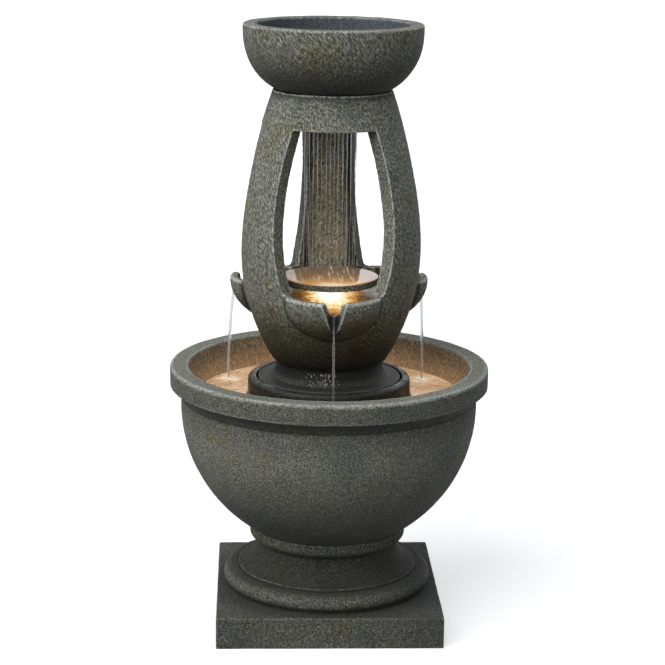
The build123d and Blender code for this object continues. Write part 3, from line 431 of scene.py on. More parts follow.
# %% Stone
STONE_SHADES = {
    0.34: (22, 23, 20),
    0.45: (76, 77, 71),
    0.53: (106, 107, 99),
    0.61: (146, 147, 138),
    0.72: (208, 209, 198),
}
OLIVE_TINT = paint(236, 232, 176)
COOL_TINT = paint(205, 215, 228)
UNDERSIDE_SHADE = paint(18, 19, 17)
CREASE_SHADE = paint(22, 23, 20)
PALE_EDGE_WEAR_AND_HIGHLIGHT = paint(168, 171, 166)
STONE_GLOSS = 0.15
STROKE_BUMP = 0.7
STROKE_DEPTH = 0.0018


def stone(name, strokes, tone, wear, *dressings):
    """Cast stone with strokes, painted shade, edges paled by wear and painted highlight, and its
    dressings.
    """
    material, tree = new_finish(name)
    place = tree.node("TexCoord", output="Object")
    normal = tree.node("NewGeometry", output="Normal")
    relief = hammered(place, *strokes)
    shades = [(at, paint(*(part * tone for part in shade))) for at, shade in STONE_SHADES.items()]
    colour = ramp(relief, *shades)
    olive = step(noise(place, 15.0, 5.0, 0.72), 0.47, 0.66)
    colour = tinted(olive, 0.5, colour, OLIVE_TINT)
    cool = step(noise(scaled(place, (1, 1, 1), (3, 5, 7)), 9.0, 2.0, 0.5), 0.48, 0.70)
    colour = tinted(cool, 0.6, colour, COOL_TINT)
    # Painted shade where the surface faces down and in creases.
    below = step(-axis(normal, "Z"), 0.1, 0.85)
    colour = mix(below * 0.75, colour, UNDERSIDE_SHADE)
    bulge = tree.node("Attribute", {"attribute_name": "bulge"}, output="Fac")
    crease = step(-bulge, 0.15, 0.9)
    colour = mix(crease * 0.75, colour, CREASE_SHADE)
    look = {"colour": colour, "rough": 0.95 - 0.2 * relief, "relief": relief, "wet": 0.0}
    for dress in dressings:
        dress(place, normal, look)
    # Pale edges: partly wear, partly a painted highlight along the edges.
    broken = step(noise(place, 240.0, 3.0, 0.7), 0.36, 0.60)
    low, high, strength = wear
    edge_wear_and_highlight = step(bulge, low, high) * broken * strength * (1.0 - look["wet"])
    look["colour"] = mix(edge_wear_and_highlight, look["colour"], PALE_EDGE_WEAR_AND_HIGHLIGHT, "SCREEN")
    inputs = {"Base Color": look["colour"], "Roughness": look["rough"]}
    inputs["Specular IOR Level"] = STONE_GLOSS
    if "glow" in look:
        inputs.update({"Emission Color": look["glow"], "Emission Strength": 1.0})
    bump = {"Height": look["relief"], "Strength": STROKE_BUMP, "Distance": STROKE_DEPTH}
    surface(tree, {**inputs, "Normal": relief.node("Bump", None, bump)})
    return material

# %% [markdown]
# ## Lamplight on the stone
# A ring lamp under the dish lights the basin from white to amber, and two pool lamps warm the
# bowl's inner wall. Real lamps that small would need many samples, and their light would be lost
# where the model is used without this scene. So the glow is painted: stronger near the lamp and
# where the stone faces it. Soft edges are written as pairs: where a change starts and where it is
# complete.

# %% Brushes for the dressings
def off_axis(place):
    """Distance of a place from the fountain's axis."""
    return length(scaled(place, (1, 1, 0)))


def between(value, rise, fall):
    """1 between two soft edges and 0 outside them."""
    return step(value, *rise) * (1.0 - step(value, *fall))


def coat(look, mask, colour):
    """Lays a colour over the stone where mask is 1."""
    look["colour"] = mix(mask, look["colour"], colour)


def darken(look, mask, factors):
    """Darkens the stone where mask is 1, as water does and as painted shade does."""
    look["colour"] = mix(mask, look["colour"], scaled(look["colour"], factors))

# %% Lamplight
RING_LAMP = (0.0, 0.0, 0.597)
LAMP_REACH = 0.21
DISH_BOTTOM = 0.618
NO_GLOW = (0, 0, 0, 1)


def lamplight(place, normal, lamp, reach):
    """How strongly a small lamp lights the surface here."""
    away = place.node("VectorMath", {"operation": "SUBTRACT"}, {0: lamp, 1: place})
    distance = length(away)
    return step(dot(away, normal) / distance, -0.25, 0.8) * (1.0 - step(distance, 0.0, reach))


def basin_light(place, normal, look):
    """Amber light on the basin's inside, kept in by the dish above."""
    under = 1.0 - step(axis(place, "Z"), DISH_BOTTOM - 0.012, DISH_BOTTOM + 0.004)
    glow = lamplight(place, normal, RING_LAMP, LAMP_REACH) * under
    shade = glow * (0.2 + 1.3 * look["relief"])
    look["glow"] = ramp(
        shade,
        (0.0, NO_GLOW),
        (0.15, paint(30, 19, 7)),
        (0.40, paint(96, 64, 28)),
        (0.70, paint(214, 156, 78)),
        (1.0, paint(255, 236, 190)),
    )


def dish_light(place, normal, look):
    """White light on the dish's underside above the lamp, amber towards its edge."""
    under = 1.0 - step(axis(place, "Z"), DISH_BOTTOM - 0.001, DISH_BOTTOM + 0.001)
    shade = under * (1.0 - 9.0 * off_axis(place))
    look["glow"] = ramp(
        shade,
        (0.0, NO_GLOW),
        (0.25, paint(120, 80, 36)),
        (0.50, paint(230, 170, 90)),
        (0.75, paint(255, 246, 222)),
    )

# %% [markdown]
# ## Wet stone and painted shade on the egg
# Water makes cast stone darker and shinier without hiding its strokes, so the colour is multiplied
# down instead of painted over; painted shade is multiplied down the same way. The egg darkens
# towards its foot, partly from water and partly as painted shade below the lobes, and painted shade
# lies in the seams where the basin's lobes stand out from it. How far a place stands proud of the
# plain egg is worked out from a curve through the egg's profile, which tells lobe, seam and egg
# apart.

# %% Spray, painted shade and soaked stone
EGG_LEVEL = 0.600
EGG_RADIUS = 0.1514
EGG_SLOPE = 0.225
EGG_CURVE = 1.5
LOBE_HEIGHTS = ((0.530, 0.540), (0.618, 0.626))
SEAM_WIDTHS = ((0.0008, 0.0025), (0.003, 0.012))
SEAM_SHADE = paint(16, 16, 12)
HIDDEN_WEAR = 0.92


def spray(place, normal, look):
    """Moist stone darker down the egg with painted shade below the lobes, painted shade in the
    lobes' seams and black wet stone at the foot.
    """
    height = axis(place, "Z")
    rise = height - EGG_LEVEL
    proud = off_axis(place) - (EGG_RADIUS + EGG_SLOPE * rise - EGG_CURVE * rise * rise)
    lobe = step(proud, 0.004, 0.014)
    # Darker towards the foot: partly water, partly painted shade below the lobes.
    damp_and_shade = (1.0 - step(height, 0.495, 0.625)) * (1.0 - 0.75 * lobe)
    darken(look, damp_and_shade, (0.155, 0.148, 0.112))
    # Painted shade in the seams where the lobes stand out from the egg.
    seam = between(proud, *SEAM_WIDTHS) * between(height, *LOBE_HEIGHTS)
    coat(look, seam * 0.85, SEAM_SHADE)
    wet = 1.0 - step(height, 0.478, 0.500)
    darken(look, wet, (0.17, 0.185, 0.20))
    look["rough"] = look["rough"] * (1.0 - 0.3 * wet)
    look["wet"] = wet * HIDDEN_WEAR


def soaked(place, normal, look):
    """Black wet stone all over, with shinier and duller patches."""
    wet = step(axis(place, "Z"), 0.30, 0.34)
    darken(look, wet, (0.13, 0.135, 0.14))
    look["wet"] = wet * HIDDEN_WEAR
    puddle = step(noise(place, 40.0, 3.0, 0.6), 0.42, 0.62)
    look["rough"] = look["rough"] * (1.0 - wet * (0.35 + 0.45 * puddle))

# %% [markdown]
# ## Painted shade, wet grooves and painted pool light
# Painted shade darkens the pedestal's hollow, the top of its plinth and its right side, where less
# light reaches. Below the spouts the grooves are wet and painted with shade, and the belly between
# them carries painted warm light, as from the lit pool, in patches. The three spouts are a third of
# a turn apart, so the sine of three times the angle finds them all.

# %% Painted shade on the pedestal
HOLLOW_HEIGHTS = ((0.082, 0.094), (0.135, 0.165))
PLINTH_TOP = (0.062, 0.070)
HOLLOW_SHADE = paint(24, 24, 20)
PLINTH_SHADE = paint(26, 27, 25)
SIDE_SHADE = paint(24, 25, 23)


def pedestal_shade(place, normal, look):
    """Painted shade in the pedestal's hollow, on top of its plinth and towards its right side."""
    height = axis(place, "Z")
    upward = step(axis(normal, "Z"), 0.7, 0.9) * (1.0 - step(height, *PLINTH_TOP))
    near = 1.0 - 0.8 * step(off_axis(place), 0.19, 0.25)
    # Painted shade: darker in the hollow, on the plinth's top and towards the right side.
    coat(look, between(height, *HOLLOW_HEIGHTS) * 0.66, HOLLOW_SHADE)
    coat(look, upward * near * 0.6, PLINTH_SHADE)
    coat(look, step(axis(place, "X"), 0.04, 0.19) * 0.36, SIDE_SHADE)

# %% Grooves and painted pool light on the egg
BELLY_HEIGHTS = ((0.48, 0.51), (0.56, 0.63))
BELLY_GLOW_TINT = paint(250, 246, 214)
REFLECTED_GLOW_TINT = paint(214, 172, 112)
GROOVE_SHADE = paint(14, 14, 12)


def spouts(place):
    """1 in the directions of the three spouts, falling to -1 between them."""
    aside = -axis(place, "Y") / off_axis(place)
    return 4.0 * aside ** 3.0 - 3.0 * aside


def spout_grooves(place, normal, look):
    """Wet grooves below the spouts with painted shade, and painted warm light from the pool on the
    belly.
    """
    height = axis(place, "Z")
    outside = step(off_axis(place), 0.160, 0.170)
    # Painted shade in the grooves below the spouts, which are also wet and shinier.
    groove = step(spouts(place), 0.975, 0.992) * outside * (1.0 - step(height, 0.600, 0.606))
    coat(look, groove * 0.85, GROOVE_SHADE)
    look["rough"] = look["rough"] * (1.0 - 0.5 * groove)
    # Painted warm light from the lit pool on the egg's belly, in patches.
    belly = between(height, *BELLY_HEIGHTS)
    look["colour"] = tinted(belly, 0.7, look["colour"], BELLY_GLOW_TINT)
    reflected_glow = step(noise(place, 16.0, 3.0, 0.6), 0.42, 0.68) * belly
    look["colour"] = tinted(reflected_glow, 0.8, look["colour"], REFLECTED_GLOW_TINT)

# %% [markdown]
# ## Inside the bowls and behind the curtain
# The top bowl is plain grey inside, and the pool bowl is warm brown where its lamps light it. The
# front of the back leg carries the curtain: brown stone, lifted paler in its middle as painted
# light, with dark runs and bright runs that are painted highlights, which are noise drawn out in
# height.
# Which side a place belongs to is told by where it is and how it faces.

# %% Inside of the top bowl
def inward(place, normal):
    """1 where the surface faces the fountain's axis."""
    return step(-dot(scaled(place, (1, 1, 0)), normal), 0.02, 0.06)


def planter(place, normal, look):
    """Plain cool grey inside the top bowl, without strokes."""
    reach = off_axis(place)
    floor_part = step(axis(normal, "Z"), 0.4, 0.7) * (1.0 - step(reach, 0.118, 0.124))
    inside = reach.count("MAXIMUM", inward(place, normal), floor_part)
    speckle = noise(place, 620.0, 2.0, 0.7)
    grey = ramp(
        speckle,
        (0.3, paint(40, 44, 48)),
        (0.5, paint(72, 77, 82)),
        (0.7, paint(122, 127, 132)),
    )
    coat(look, inside, grey)
    look["relief"] = look["relief"] * (1.0 - inside) + speckle * inside * 0.6

# %% Back leg and crown
LEG_HEIGHTS = ((0.60, 0.63), (0.905, 0.915))
LEG_BACK = (0.07, 0.09)
LEG_SIDES = (0.085, 0.100)
LEG_BROWN = paint(246, 232, 204)
PALEST_BROWN = (0.8, 0.76, 0.62)
RUN_DARK = paint(30, 31, 30)
RUN_HIGHLIGHT = paint(190, 192, 190)


def curtain_face(place, normal, look):
    """Brown stone on the back leg's front, paler in the middle as painted light, runs of water with
    painted highlights, and dark wet stone on its flanks.
    """
    height = axis(place, "Z")
    aside = abs(axis(place, "X"))
    leg = step(axis(place, "Y"), *LEG_BACK) * between(height, *LEG_HEIGHTS)
    leg = leg * (1.0 - step(aside, *LEG_SIDES))
    front = step(-axis(normal, "Y"), 0.2, 0.7)
    face = leg * front
    flank = leg * (1.0 - front) * (1.0 - step(axis(normal, "Y"), 0.1, 0.4))
    darken(look, flank, (0.40, 0.42, 0.44))
    side = step(aside, 0.018, 0.040)
    brown = mix(face, look["colour"], LEG_BROWN, "MULTIPLY")
    # Painted light: the face's middle is lifted paler, as if better lit.
    lifted = {0: scaled(brown, (2.3, 2.3, 2.5)), 1: PALEST_BROWN}
    pale = brown.node("VectorMath", {"operation": "MINIMUM"}, lifted)
    brown = mix(face * (1.0 - side), brown, pale)
    runs = noise(scaled(place, (1, 0.2, 0.02)), 210.0, 3.0, 0.65)
    high = step(height, 0.74, 0.90)
    dark = (1.0 - step(runs, 0.43, 0.55)) * face * (0.05 + 0.95 * side + 0.3 * high)
    brown = mix(dark, brown, RUN_DARK)
    # Painted highlight: bright runs of water, stronger high up and at the sides.
    bright = step(runs, 0.53, 0.66) * face * (0.05 + 0.85 * high + 0.7 * side)
    look["colour"] = mix(bright * 0.6, brown, RUN_HIGHLIGHT)
    look["rough"] = look["rough"] * (1.0 - 0.45 * face)


CROWN_SHADOW = paint(20, 21, 18)


def crown_shade(place, normal, look):
    """Painted shadow on the crown's upper edge, under the top bowl."""
    # Painted shadow along the crown's top edge, under the top bowl.
    edge = step(axis(place, "Z"), 0.950, 0.964)
    coat(look, edge * 0.7, CROWN_SHADOW)

# %% Inside of the pool bowl
INNER_WALL = 0.2545
POOL_LEVEL = 0.4135
RIM_LEVEL = 0.4695
COVE_SHADE = paint(20, 21, 19)
BAND_SHADE = paint(20, 21, 20)


def bowl_inside(place, normal, look):
    """Warm brown inner wall with fine specks, lit from the pool."""
    height = axis(place, "Z")
    outside = step(off_axis(place), INNER_WALL - 0.002, INNER_WALL)
    inside = (1.0 - outside) * step(height, 0.395, 0.400)
    specks = noise(scaled(place, (1, 1, 0.4)), 420.0, 3.0, 0.75)
    wall = ramp(
        specks,
        (0.36, paint(56, 46, 34)),
        (0.50, paint(134, 114, 90)),
        (0.60, paint(164, 144, 116)),
        (0.70, paint(222, 206, 180)),
    )
    coat(look, inside * 0.9, wall)
    steep = 1.0 - step(axis(normal, "Z"), 0.3, 0.6)
    shadow = step(height, 0.345, 0.405) * (1.0 - inside) * steep
    coat(look, shadow * 0.32, COVE_SHADE)
    band = (1.0 - inside) * step(height, 0.418, 0.424) * steep
    coat(look, band * 0.08, BAND_SHADE)
    warm = inside * (1.0 - step(height, POOL_LEVEL - 0.01, RIM_LEVEL - 0.01))
    warm = warm * (0.3 + 0.7 * specks)
    look["glow"] = ramp(warm, (0.0, NO_GLOW), (1.0, paint(134, 102, 70)))

# %% [markdown]
# ## Every stone with its finish
# The pieces were cast and painted apart, so their strokes, tone and pale edges differ a little.
# Each gets the twist, squeeze and fineness of its strokes, its tone, its wear and its dressings.
# Wear, which pales edges partly as wear and partly as painted highlight, is a bulge at which it
# starts, one at which it is complete, and a strength.

# %% Stone finishes
FINE_WEAR = (0.30, 0.70, 1.0)
SOFT_WEAR = (0.32, 0.85, 0.5)
FAINT_WEAR = (0.45, 1.0, 0.42)
TOWER_DRESSINGS = (spray, spout_grooves, curtain_face, crown_shade, basin_light)
STONES = {
    "pedestal": stone("pedestal_stone", (3.0, 0.55, 460.0), 0.78, FAINT_WEAR, pedestal_shade),
    "lower_bowl": stone("pool_bowl_stone", (2.0, 0.7, 540.0), 1.08, SOFT_WEAR, bowl_inside),
    "pump_riser": stone("riser_stone", (4.0, 0.5, 420.0), 0.85, FAINT_WEAR, soaked),
    "tower": stone("tower_stone", (4.0, 0.40, 440.0), 1.10, FINE_WEAR, *TOWER_DRESSINGS),
    "splash_dish": stone("dish_stone", (4.0, 0.6, 420.0), 0.92, FAINT_WEAR, dish_light),
    "top_bowl": stone("top_bowl_stone", (3.5, 0.34, 420.0), 1.06, FINE_WEAR, planter),
}
for node, finish in STONES.items():
    casts[node].data.materials.append(finish)
print("stone finishes:", [finish.name for finish in STONES.values()])

# %% [markdown]
# ## Shaping water
# Standing and falling water here is always a closed round form: a stream is a thin rod, the film on
# the dish a flat lens and the pool a ring. So one function starts from a circle and draws it out
# through stations, each with a place and a radius, as a potter pulls a wall. A soft subdivision
# then rounds it.

# %% Drawing out a round form
SEAM_DISTANCE = 1e-6


def draw_out(name, stations, sides=16, ring=False):
    """A closed form through (x, y, z, radius) stations; a ring comes back to its first station."""
    bpy.ops.object.select_all(action="DESELECT")
    bpy.ops.mesh.primitive_circle_add(vertices=sides, radius=stations[0][3])
    piece = bpy.context.object
    piece.name = piece.data.name = name
    bpy.ops.object.mode_set(mode="EDIT")
    bpy.ops.transform.translate(value=stations[0][:3])
    for before, after in zip(stations, stations[1:]):
        move = [b - a for a, b in zip(before[:3], after[:3])]
        bpy.ops.mesh.extrude_edges_move(TRANSFORM_OT_translate={"value": move})
        grow = after[3] / before[3]
        bpy.ops.transform.resize(value=(grow, grow, 1.0), center_override=after[:3])
    bpy.ops.mesh.select_all(action="SELECT")
    if ring:
        bpy.ops.mesh.remove_doubles(threshold=SEAM_DISTANCE)
    else:
        bpy.ops.mesh.fill_holes(sides=0)
    bpy.ops.mesh.normals_make_consistent(inside=False)
    bpy.ops.object.mode_set(mode="OBJECT")
    bpy.ops.object.shade_smooth()
    return piece


def rounded(piece, levels=2, wobble=0.0, size=0.012):
    """Rounds a form by subdivision and shakes it a little, as running water is."""
    piece.modifiers.new("round", "SUBSURF").levels = levels
    if wobble:
        swirl = bpy.data.textures.new(piece.name + "_swirl", "CLOUDS")
        swirl.noise_scale = size
        shake = piece.modifiers.new("shake", "DISPLACE")
        shake.texture = swirl
        shake.texture_coords = "LOCAL"
        shake.strength = wobble
    apply_modifiers(piece)

# %% [markdown]
# ## The pool
# The pool is a ring of water between the riser and the bowl's wall. Where the three streams fall
# in, rings run out and foam breaks the surface. The rings are moved into the mesh, since they show
# from every side, and the finer glitter is left to the finish.

# %% Pool
POOL_INNER = 0.1500
POOL_OUTER = 0.2408
POOL_DEPTH = 0.006
POOL_FLOOR = POOL_LEVEL - POOL_DEPTH
POOL_ROWS = 44
POOL_SIDES = 240
IMPACTS = [(0.0, -0.196), (0.1771, 0.1022), (-0.1838, 0.1061)]
RING_LENGTH = 0.013
RING_HEIGHT = 0.0011
RING_ROOM = 0.0012
RING_FADE = 0.035

top_rows = [
    (0, 0, POOL_LEVEL - RING_ROOM, POOL_OUTER + (POOL_INNER - POOL_OUTER) * row / POOL_ROWS)
    for row in range(POOL_ROWS + 1)
]
floor_rows = [(0, 0, POOL_FLOOR, POOL_INNER), (0, 0, POOL_FLOOR, POOL_OUTER)]
pool = draw_out("pool_water", floor_rows + top_rows + floor_rows[:1], POOL_SIDES, ring=True)
points = points_of(pool.data)
on_top = points[:, 2] > POOL_LEVEL - 0.5 * POOL_DEPTH
for x, y in IMPACTS:
    distance = np.hypot(points[:, 0] - x, points[:, 1] - y)
    ripple = np.cos(2 * math.pi * distance / RING_LENGTH) * np.exp(-distance / RING_FADE)
    points[:, 2] += on_top * RING_HEIGHT * ripple
pool.data.vertices.foreach_set("co", points.ravel())
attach(pool, "base")
print("pool:", len(pool.data.polygons), "faces")

# %% [markdown]
# ## Basin water and the film on the dish
# The basin's water follows its plan, a round middle with three lobes, so a disc is drawn out and
# its radius is then changed with the direction. The dish carries only a thin film, a little domed.

# %% Basin water
BASIN_LEVEL = 0.6025
BASIN_MIDDLE = 0.1200
LOBE_REACH = 0.104
LOBE_WATER = 0.0705
LOBE_ANGLES = [math.radians(angle) for angle in (-90, 30, 150)]
BASIN_DEPTH = 0.005
BASIN_ROWS = 12
BASIN_STEP = 0.08
BASIN_SIDES = 180

rows = [(0, 0, BASIN_LEVEL, 1.0 - BASIN_STEP * row) for row in range(BASIN_ROWS)]
basin = draw_out("basin_water", [(0, 0, BASIN_LEVEL - BASIN_DEPTH, 1.0)] + rows, BASIN_SIDES)
points = points_of(basin.data)
heading = np.arctan2(points[:, 1], points[:, 0])
edge = np.full(len(points), BASIN_MIDDLE)
for lobe in LOBE_ANGLES:
    along, across = LOBE_REACH * np.cos(heading - lobe), LOBE_REACH * np.sin(heading - lobe)
    inside = (np.abs(across) < LOBE_WATER) & (along > 0)
    chord = np.sqrt(np.maximum(LOBE_WATER ** 2 - across ** 2, 0))
    edge = np.maximum(edge, np.where(inside, along + chord, 0))
points[:, :2] *= edge[:, None]
basin.data.vertices.foreach_set("co", points.ravel())
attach(basin, "tower")
print("basin:", len(basin.data.polygons), "faces")

# %% Film on the dish
DISH_TOP = 0.6275
FILM_PROFILE = [
    (0.0, 0.0790), (0.0028, 0.0826), (0.0028, 0.0852), (0.0034, 0.0854), (0.0039, 0.0842),
    (0.0042, 0.0800), (0.0043, 0.0600), (0.0043, 0.0300), (0.0043, 0.0080),
]
FILM_SIDES = 96

rows = [(0, 0, DISH_TOP + rise, radius) for rise, radius in FILM_PROFILE]
film = draw_out("dish_film", rows, FILM_SIDES)
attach(film, "dish")
print("film:", len(film.data.polygons), "faces")

# %% [markdown]
# ## Falling water
# Each basin lobe has a notch that water leaves by. It runs out over the lip, then falls thinner and
# thinner as it speeds up, which the stations say. The curtain falls in thirteen strands
# from the spreader's outlets to the back of the dish.

# %% Streams
STREAMS = {
    "front_stream": (LOBE_ANGLES[0], [
        (0.1735, 0.6004, 0.0012), (0.1772, 0.5994, 0.0012), (0.1790, 0.5955, 0.0006),
        (0.1800, 0.588, 0.0005), (0.1814, 0.575, 0.0007), (0.1835, 0.560, 0.0016),
        (0.1855, 0.542, 0.0026), (0.1880, 0.522, 0.0019), (0.1900, 0.500, 0.0024),
        (0.1920, 0.475, 0.0017), (0.1942, 0.445, 0.0022), (0.196, 0.4110, 0.0024),
    ]),
    "right_stream": (LOBE_ANGLES[1], [
        (0.1735, 0.6010, 0.0020), (0.183, 0.6012, 0.0024), (0.1925, 0.5960, 0.0031),
        (0.1968, 0.584, 0.0029), (0.1995, 0.565, 0.0030), (0.2012, 0.535, 0.0027),
        (0.2026, 0.500, 0.0030), (0.2038, 0.455, 0.0027), (0.2045, 0.4110, 0.0029),
    ]),
    "left_stream": (LOBE_ANGLES[2], [
        (0.1735, 0.6010, 0.0020), (0.183, 0.6012, 0.0024), (0.1945, 0.5965, 0.0031),
        (0.2000, 0.585, 0.0029), (0.2032, 0.565, 0.0030), (0.2060, 0.535, 0.0027),
        (0.2085, 0.500, 0.0030), (0.2107, 0.455, 0.0027), (0.2122, 0.4110, 0.0029),
    ]),
}
STREAM_SIDES = 10
STREAM_WOBBLE = 0.0008

streams = []
for name, (heading, path) in STREAMS.items():
    stations = [(r * math.cos(heading), r * math.sin(heading), z, width) for r, z, width in path]
    stream = draw_out(name, stations, STREAM_SIDES)
    rounded(stream, 2, STREAM_WOBBLE)
    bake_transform(stream)
    streams.append(stream)
print("streams:", [stream.name for stream in streams])

# %% Curtain
OUTLETS = 13
OUTLET_PITCH = 0.0076
OUTLET_PLAY = 0.0008
OUTLET_LINE = 0.068
OUTLET_LEVEL = 0.892
FILM_DEPTH = 0.0035
STRAND_FALL = OUTLET_LEVEL - DISH_TOP - FILM_DEPTH
STRAND_STEPS = 14
STRAND_SIDES = 8
STRAND_WIDTHS = (0.0006, 0.0013)
STRAND_THINNEST = 0.00025
SWAY = 0.0005

chance = random.Random(7)
strands = []
for outlet in range(OUTLETS):
    x = (outlet - (OUTLETS - 1) / 2) * OUTLET_PITCH + chance.uniform(-OUTLET_PLAY, OUTLET_PLAY)
    thick = chance.uniform(*STRAND_WIDTHS)
    stations = []
    for part in range(STRAND_STEPS + 1):
        share = part / STRAND_STEPS
        sway = chance.uniform(-SWAY, SWAY)
        width = max(STRAND_THINNEST, thick * (1.2 - 1.8 * share)) * chance.uniform(0.8, 1.2)
        level = OUTLET_LEVEL - STRAND_FALL * share
        stations.append((x + sway, OUTLET_LINE + 0.4 * sway, level, width))
    strands.append(draw_out("strand", stations, STRAND_SIDES))
for strand in strands:
    strand.select_set(True)
bpy.ops.object.join()
curtain = bpy.context.object
curtain.name = curtain.data.name = "water_curtain"
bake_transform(curtain)
print("curtain:", len(curtain.data.polygons), "faces")

# %% [markdown]
# ## Drops on the tower's foot
# Spray from the pool leaves drops on the foot of the tower, most of them at the front. Each is a
# small flattened ball that sits on the stone: a line from outside towards the axis finds the stone,
# so no drop hangs in the air.

# %% Drops
DROPS = 80
DROP_HEADING = -98
DROP_SPREAD = 7
DROP_LEVELS = (0.450, 0.472)
DROP_SIZES = (0.0004, 0.0012)
DROP_FLATNESS = 0.6
DROP_LENGTHS = (0.8, 2.4)
OUTSIDE = 0.3

drops = []
for _ in range(DROPS):
    heading = math.radians(chance.gauss(DROP_HEADING, DROP_SPREAD))
    level = Vector((0, 0, chance.uniform(*DROP_LEVELS)))
    outward = Vector((math.cos(heading), math.sin(heading), 0))
    spot = casts["tower"].ray_cast(outward * OUTSIDE + level, -outward)[1]
    size = chance.uniform(*DROP_SIZES)
    bpy.ops.mesh.primitive_ico_sphere_add(subdivisions=2, radius=size, location=spot)
    drop = bpy.context.object
    drop.scale = (1.0, DROP_FLATNESS, chance.uniform(*DROP_LENGTHS))
    drop.rotation_euler = (0, 0, heading + math.pi / 2)
    bpy.ops.object.transform_apply(location=True, rotation=True, scale=True)
    drops.append(drop)
for drop in drops:
    drop.select_set(True)
bpy.ops.object.join()
spatter = bpy.context.object
spatter.name = spatter.data.name = "foot_drops"
bpy.ops.object.shade_smooth()
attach(spatter, "tower")
print("drops:", len(drops))

# %% [markdown]
# ## Water finishes
# Falling water is clear, with some air in it. Standing water in a lit fountain mostly shows the
# lamps' glow from below, so the pool, the basin and the film are painted in ambers that turn to
# white near the lamp or the foam, and shine. Most of each colour is given as light of its own,
# since it comes from the lamps.

# %% Clear water and lit water
WATER_IOR = 1.33
BODY_SHARE = (0.35, 0.35, 0.35)


def clear_water(name, whiteness):
    """Clear water; whiteness is how much air is in it."""
    material, tree = new_finish(name)
    place = tree.node("TexCoord", output="Object")
    swirl = noise(scaled(place, (1, 1, 0.25)), 320.0, 2.0, 0.5)
    bump = swirl.node("Bump", None, {"Height": swirl, "Strength": 0.5, "Distance": 0.001})
    colour = mix(swirl, paint(206, 210, 212), paint(244, 246, 248))
    surface(tree, {
        "Base Color": colour, "Roughness": 0.06 + 0.1 * swirl, "Normal": bump,
        "IOR": WATER_IOR, "Transmission Weight": 1.0 - whiteness,
    })
    return material


def lit_water(name, glow, strength, gloss, shine, depth):
    """Standing water that shows a painted glow."""
    material, tree = new_finish(name)
    place = tree.node("TexCoord", output="Object")
    colour, height = glow(place)
    bump = height.node("Bump", None, {"Height": height, "Strength": shine, "Distance": depth})
    glitter = noise(place, 80.0, 2.0, 0.5)
    surface(tree, {
        "Base Color": scaled(colour, BODY_SHARE), "Roughness": 0.05 + 0.08 * glitter,
        "Emission Color": colour, "Emission Strength": strength,
        "Specular IOR Level": gloss, "Normal": bump,
    })
    return material


falling = clear_water("falling_water", 0.05)
falling_white = clear_water("falling_white_water", 0.25)
for stream in streams:
    stream.data.materials.append(falling if stream.name == "front_stream" else falling_white)
curtain.data.materials.append(clear_water("curtain_water", 0.4))
spatter.data.materials.append(clear_water("drop_water", 0.3))
print("clear water on", len(streams) + 2, "pieces")

# %% Glow of the pool
FOAM_REACH = 0.040


def pool_glow(place):
    """Peach water with worm-like bright lines, and foam where the streams land."""
    lines = 1.0 - abs(noise(place, 34.0, 4.0, 0.65, 2.2) - 0.5) * 6.0
    away = [length(scaled(place, (1, 1, 0), (-x, -y, 0))) for x, y in IMPACTS]
    front, right, left = [1.0 - step(distance, 0.0, FOAM_REACH) for distance in away]
    foam = front + right + left
    bubbles = noise(place, 190.0, 2.0, 0.7, 0.8)
    patches = noise(place, 17.0, 2.0, 0.5, 0.6) - 0.5
    calm = 0.36 + 0.22 * lines + 0.5 * patches
    shade = calm + foam * (0.42 * bubbles + 0.16 * lines) + 0.3 * (bubbles - 0.5)
    colour = ramp(
        shade,
        (0.10, paint(110, 72, 40)),
        (0.36, paint(164, 120, 82)),
        (0.55, paint(212, 174, 134)),
        (0.80, paint(242, 220, 192)),
        (1.00, paint(255, 250, 240)),
    )
    return colour, lines * 0.3 + bubbles * foam


pool.data.materials.append(lit_water("pool_glow", pool_glow, 0.62, 0.25, 0.5, 0.002))
print("pool finish:", pool.data.materials[0].name)

# %% Shine of the basin and of the film
def basin_shine(place):
    """White over the lamp, then gold and amber, drawn out towards the front spout."""
    forward = axis(place, "Y")
    drawn = forward * (0.45 + 0.75 * step(forward, -0.02, 0.03))
    reach = (1.6 * axis(place, "X")) ** 2.0 + drawn ** 2.0
    swirl = noise(place, 105.0, 3.0, 0.6, 1.2)
    colour = ramp(
        reach ** 0.5 * 7.4 + (swirl - 0.5) * 0.75,
        (0.24, paint(255, 255, 250)),
        (0.34, paint(255, 236, 180)),
        (0.46, paint(214, 158, 84)),
        (0.60, paint(124, 86, 42)),
        (0.80, paint(62, 42, 20)),
    )
    return colour, swirl


def film_shine(place):
    """Cream at the front edge, then gold, and grey-brown at the back, with runs of water."""
    runs = noise(scaled(place, (1, 0.06, 1)), 160.0, 2.0, 0.6)
    drift = noise(place, 30.0, 2.0, 0.5, 0.8)
    behind = length(scaled(place, (0.8, 1, 0), (0, 0.095, 0)))
    colour = ramp(
        behind * 5.5 + (drift - 0.5) * 0.25,
        (0.08, paint(250, 222, 184)),
        (0.24, paint(206, 154, 98)),
        (0.46, paint(152, 116, 80)),
        (0.80, paint(108, 92, 78)),
    )
    middle = 1.0 - step(abs(axis(place, "X")), 0.015, 0.070)
    dark = (1.0 - step(runs, 0.36, 0.48)) * middle * step(behind, 0.035, 0.085) * 0.5
    colour = mix(dark, colour, paint(112, 82, 56))
    bright = step(runs, 0.52, 0.68) * middle * 0.62
    return mix(bright, colour, paint(246, 222, 188)), runs * 0.5 + drift


basin.data.materials.append(lit_water("basin_shine", basin_shine, 0.95, 0.06, 0.4, 0.002))
film.data.materials.append(lit_water("film_shine", film_shine, 0.60, 0.12, 0.35, 0.001))
print("basin and film finishes:", [piece.data.materials[0].name for piece in (basin, film)])

# %% [markdown]
# ## Fittings
# The pump, hose, spreader and lamps keep their CAD shapes, since moulded parts are as plain as
# that. Moulded plastic has a fine spark-eroded grain, rubber a dull bloom, ceramic a ground sheen,
# and the lenses glow. Each finish changes a little over the surface, so that none is one flat
# colour.

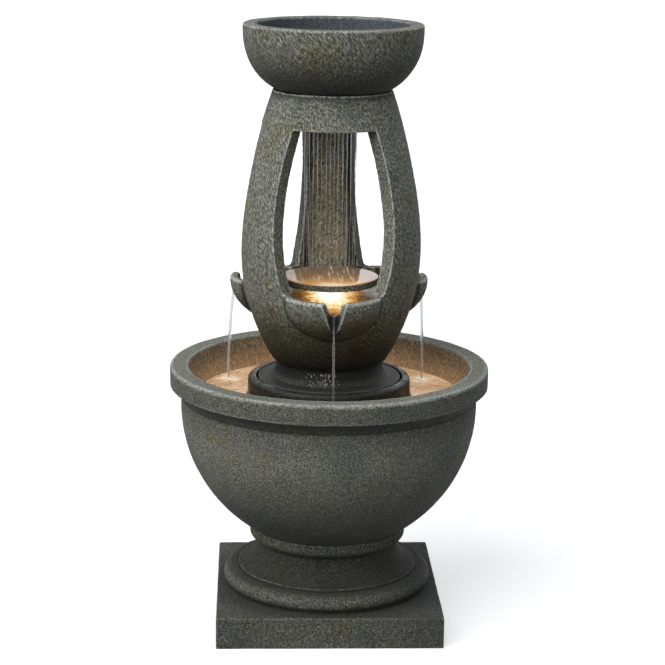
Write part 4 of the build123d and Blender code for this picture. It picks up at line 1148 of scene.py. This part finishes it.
# %% Moulded finishes and lenses
def moulded(name, colour, pale, rough, grain, depth):
    """A moulded finish: colour with pale bloom, a grain and its depth."""
    material, tree = new_finish(name)
    place = tree.node("TexCoord", output="Object")
    skin = noise(place, grain, 2.0, 0.6)
    bloom = step(noise(place, 38.0, 3.0, 0.6), 0.42, 0.72)
    bump = skin.node("Bump", None, {"Height": skin, "Strength": 0.35, "Distance": depth})
    surface(tree, {
        "Base Color": mix(bloom * 0.6, colour, pale),
        "Roughness": rough + 0.18 * (skin - 0.5),
        "Normal": bump,
    })
    return material


LENS_LIGHT = 1.6


def lamp_lens(name):
    """A frosted lens, whiter in the middle of each LED."""
    material, tree = new_finish(name)
    place = tree.node("TexCoord", output="Object")
    frost = noise(place, 420.0, 2.0, 0.5)
    colour = mix(frost, paint(255, 236, 196), paint(255, 253, 246))
    surface(tree, {
        "Base Color": colour, "Roughness": 0.12 + 0.2 * frost,
        "Emission Color": colour, "Emission Strength": LENS_LIGHT,
    })
    return material

# %% Finishes put on the fittings
FITTINGS = {
    moulded("black_rubber", paint(30, 30, 31), paint(58, 58, 58), 0.72, 900.0, 0.0002): (
        "cable_grommet", "suction_cups", "shaft_bushes", "dish_lamp_seal",
    ),
    moulded("black_plastic", paint(38, 39, 41), paint(62, 64, 66), 0.48, 1400.0, 0.0002): (
        "pool_lamp_housings", "dish_lamp_housing", "pump_body", "pump_volute", "pump_strainer",
        "water_spreader", "dish_post", "outlet_nozzle",
    ),
    moulded("grey_plastic", paint(142, 146, 150), paint(170, 173, 175), 0.46, 1400.0, 0.0002): (
        "flow_dial", "impeller",
    ),
    moulded("white_ceramic", paint(232, 230, 222), paint(245, 244, 238), 0.25, 2200.0, 0.0001): (
        "impeller_shaft",
    ),
    moulded("hose_plastic", paint(120, 126, 130), paint(150, 156, 158), 0.35, 700.0, 0.0002): (
        "riser_tube",
    ),
    moulded("lamp_board", paint(226, 224, 210), paint(240, 238, 228), 0.42, 1100.0, 0.0001): (
        "pool_lamp_boards", "dish_lamp_board",
    ),
    lamp_lens("lamp_lens"): ("pool_lamp_lenses", "dish_lamp_lens"),
}
for finish, nodes in FITTINGS.items():
    for node in nodes:
        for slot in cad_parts[node].material_slots:
            slot.material = finish
print("fittings:", sum(len(nodes) for nodes in FITTINGS.values()))
